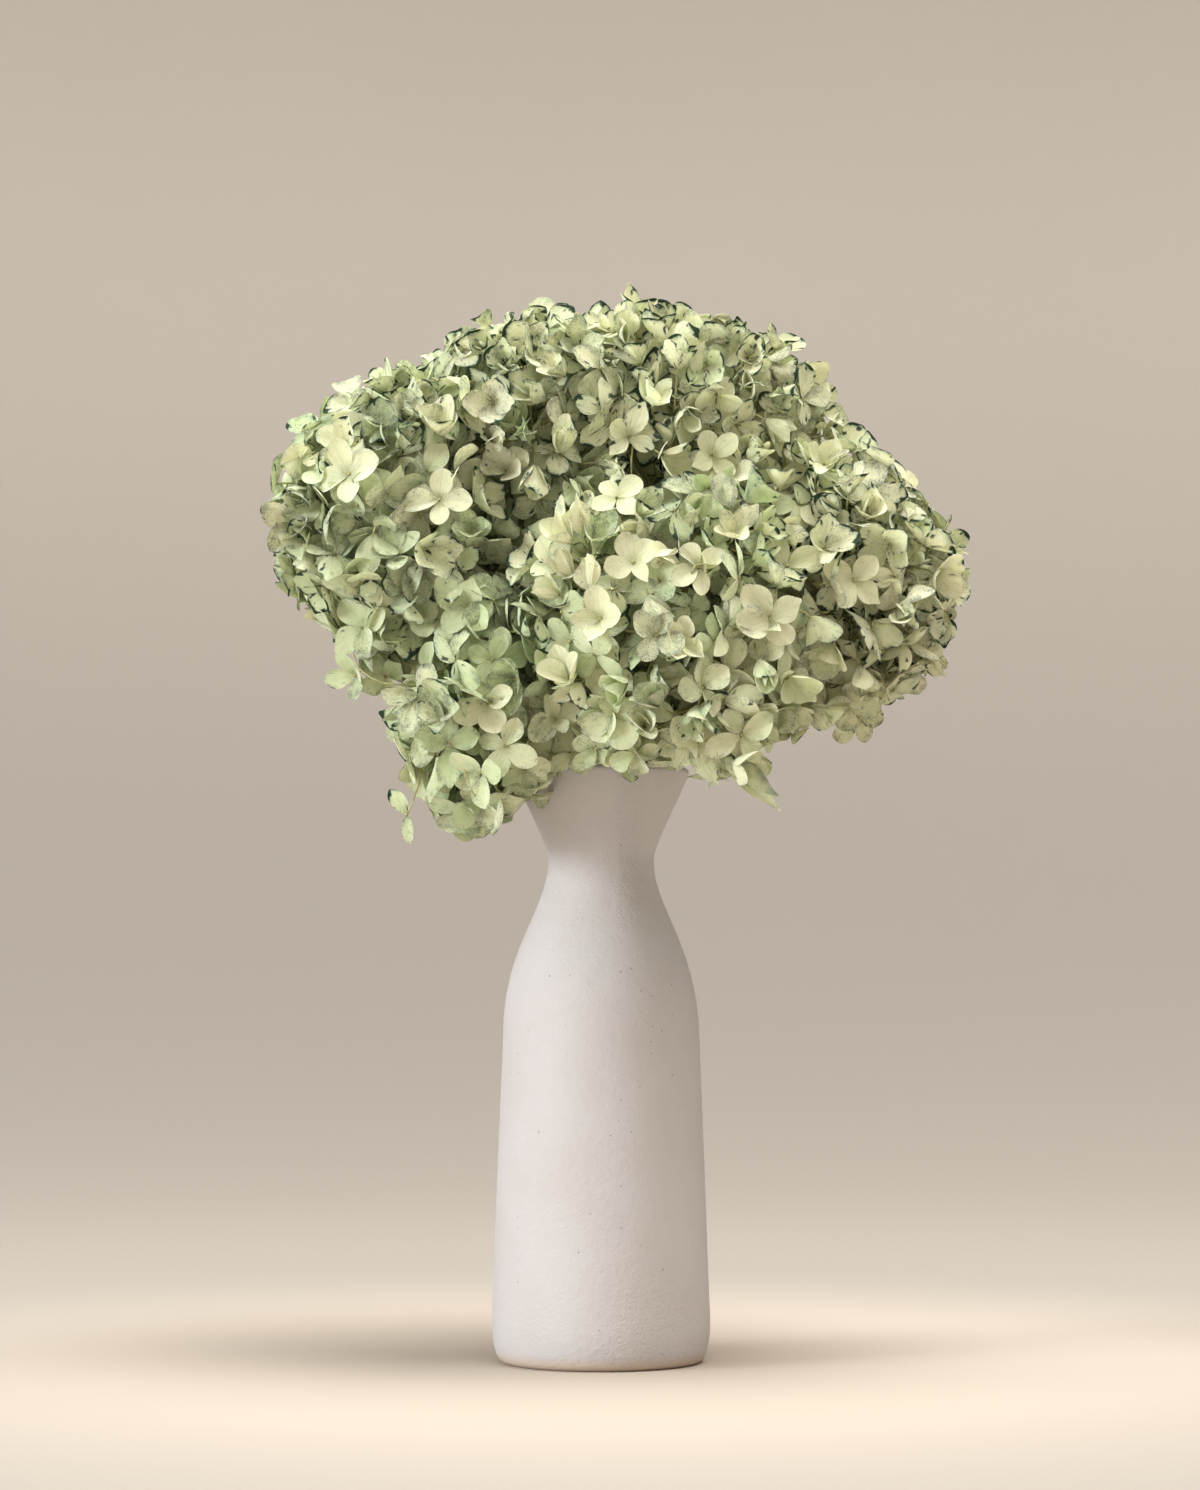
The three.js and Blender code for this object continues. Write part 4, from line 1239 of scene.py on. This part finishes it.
        count, n = flat.shape[:2]
        disc = np.stack([grid.x, grid.y, grid.rim], axis=1)
        disc = np.concatenate([disc, disc[grid.inner]])
        seed = np.broadcast_to((np.arange(count) * 7.31 % 97)[:, None], (count, n))
        mood = np.concatenate([np.clip(moods, 0, 1), np.ones((count, 1))], axis=1)
        mesh.add(
            set_out(into_floret(flat, turns, lifts, offsets), frames, roots),
            grid.quads,
            grid.corners,
            0,
            sharp=np.r_[~grid.inner, np.zeros(grid.inner.sum(), bool)],
            cells=2,
            place_mm=np.stack([flat[..., 0] / MM, flat[..., 1] / MM, seed], axis=2),
            mood=np.broadcast_to(mood[:, None], (count, n, 4)),
            disc=np.broadcast_to(disc, (count, n, 3)),
        )

    def add_eyes(self, mesh, florets):
        """Adds the bead in the middle of each floret."""
        ball, quads = bead()
        radius = EYE_RADIUS + EYE_GROWTH * (np.arange(len(florets)) * 0.618 % 1)
        local = (ball * [[1.0, 1.0, 0.8]])[None] * radius[:, None, None] + [[[0, 0, EYE_HEIGHT]]]
        frames, roots = (np.array([f[key] for f in florets]) for key in ("frame", "root"))
        corners = np.tile([[0.4, 0.4, 0], [0.6, 0.4, 0], [0.6, 0.6, 0], [0.4, 0.6, 0]], (len(quads), 1, 1))
        mesh.add(set_out(local, frames, roots), quads, corners, 2)

    def add_stalks(self, mesh, head, florets):
        """Adds the branches from the stem's tip, and each floret's stalk down to a branch."""
        draw = np.random.default_rng(BRANCH_SEED)
        knots, _ = head.surface(even_directions(BRANCHES, draw), BRANCH_DEPTH * head.reach.min())
        bend = head.stem_tip + (knots - head.stem_tip) * BRANCH_BEND + [[0, 0, BRANCH_RISE]]
        mesh.add_tubes(arcs(head.stem_tip[None], bend, knots), np.linspace(*BRANCH_RADII, 6), 6, 1)

        roots = np.array([f["root"] for f in florets])
        backs = -np.array([f["frame"][:, 2] for f in florets])
        ends = knots[np.linalg.norm(roots[:, None] - knots[None], axis=2).argmin(axis=1)]
        bend = roots + backs * (STALK_BEND * np.linalg.norm(ends - roots, axis=1)[:, None])
        radii = self.settings.stalk_radius * np.linspace(1, STALK_TAPER, 6)
        mesh.add_tubes(arcs(roots, bend, ends), radii, 4, 1)


class HYDRANGEAS_OT_flower_heads(bpy.types.Operator):
    """Fill every flower head with florets"""

    bl_idname = "hydrangeas.flower_heads"
    bl_label = "Flower heads"

    def execute(self, context):
        settings = context.scene.hydrangea_florets
        bunch = Bunch(settings, context.scene.hydrangea_vase, context.scene.hydrangea_stage)
        bunch.fill()
        materials = [sepal_finish(settings), stalk_finish(), eye_finish()]
        for head in bunch.heads:
            piece = bunch.build_head(head, materials)
            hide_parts(f"head_{head.name}")
            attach(piece, "root")
        return {"FINISHED"}


# --- The stage ---

# The lights: degrees to the left of the front, degrees up, distance, size, power and colour.
LIGHTS = {
    "key": (63, 10, 3.3, 1.4, 126, (0.88, 0.95, 1.0)),
    "front_above": (0, 46, 3.3, 2.1, 18, (1.0, 0.985, 0.95)),
    "overhead": (-90, 84, 3.0, 2.1, 118, (1.0, 0.985, 0.95)),
    "right_above": (-50, 71, 3.2, 1.8, 57, (0.99, 0.99, 0.95)),
}
AIM = Vector((0, 0, 0.3))
SKY, SKY_STRENGTH = (1.0, 0.935, 0.83, 1), 0.41

# The floor runs out flat to this radius and then curves up into the backdrop.
FLAT_RADIUS = 1.2
BACKDROP_CURVE = ((FLAT_RADIUS, 0), (3.2, 0), (4.4, 1.0), (4.6, 3.4))


def area_light(name, left, up, distance, size, power, colour):
    """A round soft light, aimed at the middle of the bunch and its vase."""
    left, up = math.radians(left), math.radians(up)
    way = Vector((-math.sin(left) * math.cos(up), -math.cos(left) * math.cos(up), math.sin(up)))
    light = bpy.data.lights.new(name, "AREA")
    light.shape = "DISK"
    light.size = size
    light.energy = power
    light.color = colour
    lamp = bpy.data.objects.new(name, light)
    lamp.location = AIM + way * distance
    lamp.rotation_euler = (-way).to_track_quat("-Z", "Y").to_euler()
    lamp.visible_camera = False
    bpy.context.scene.collection.objects.link(lamp)


class HYDRANGEAS_OT_stage(bpy.types.Operator):
    """Set the floor, the lights and the camera"""

    bl_idname = "hydrangeas.stage"
    bl_label = "Stage"

    def execute(self, context):
        scene = context.scene
        stage = scene.hydrangea_stage
        flat = np.linspace((0.001, 0), (FLAT_RADIUS, 0), 8)
        points, quads, corners = lathe(np.concatenate([flat, bezier(BACKDROP_CURVE, 28)]), 96)
        bowl = QuadMesh()
        bowl.add(points[None], quads[:, ::-1], corners[:, ::-1], 0)
        floor = bowl.build("studio_floor", [studio_finish(stage)])

        for name, light in LIGHTS.items():
            area_light(name, *light)
        world = bpy.data.worlds.new("studio")
        world.use_nodes = True
        background = world.node_tree.nodes["Background"]
        background.inputs[0].default_value = SKY
        background.inputs[1].default_value = SKY_STRENGTH
        scene.world = world

        lens = bpy.data.cameras.new("camera")
        lens.sensor_width = 36
        lens.lens = stage.lens
        lens.clip_start, lens.clip_end = 0.05, 50
        camera = bpy.data.objects.new("camera", lens)
        camera.location = (-0.0005, -stage.camera_distance, stage.camera_height)
        camera.rotation_euler = (math.pi / 2 + stage.camera_tilt, 0, 0)
        scene.collection.objects.link(camera)
        bpy.context.scene.camera = camera
        scene.view_settings.view_transform = "Standard"
        return {"FINISHED"}


# --- The add-on ---


class HYDRANGEAS_PT_panel(bpy.types.Panel):
    """Sizes, colours and pieces of the bunch"""

    bl_idname = "HYDRANGEAS_PT_panel"
    bl_label = "Hydrangeas"
    bl_space_type = "VIEW_3D"
    bl_region_type = "UI"
    bl_category = "Hydrangeas"

    def draw(self, context):
        for name, _, operator in SECTIONS:
            box = self.layout.box()
            settings = getattr(context.scene, name)
            for field in type(settings).__annotations__:
                box.prop(settings, field)
            box.operator(operator.bl_idname)


SECTIONS = (
    ("hydrangea_vase", VaseSettings, HYDRANGEAS_OT_vase),
    ("hydrangea_stems", StemSettings, HYDRANGEAS_OT_stems),
    ("hydrangea_florets", FloretSettings, HYDRANGEAS_OT_flower_heads),
    ("hydrangea_stage", StageSettings, HYDRANGEAS_OT_stage),
)
CLASSES = (
    *(settings for _, settings, _ in SECTIONS),
    *(operator for _, _, operator in SECTIONS),
    HYDRANGEAS_PT_panel,
)


def register():
    for cls in CLASSES:
        bpy.utils.register_class(cls)
    for name, settings, _ in SECTIONS:
        setattr(bpy.types.Scene, name, PointerProperty(type=settings))


def unregister():
    for name, _, _ in SECTIONS:
        delattr(bpy.types.Scene, name)
    for cls in reversed(CLASSES):
        bpy.utils.unregister_class(cls)


def main():
    register()
    bpy.ops.hydrangeas.vase()
    bpy.ops.hydrangeas.stems()
    bpy.ops.hydrangeas.flower_heads()
    bpy.ops.hydrangeas.stage()


if __name__ == "__main__":
    main()
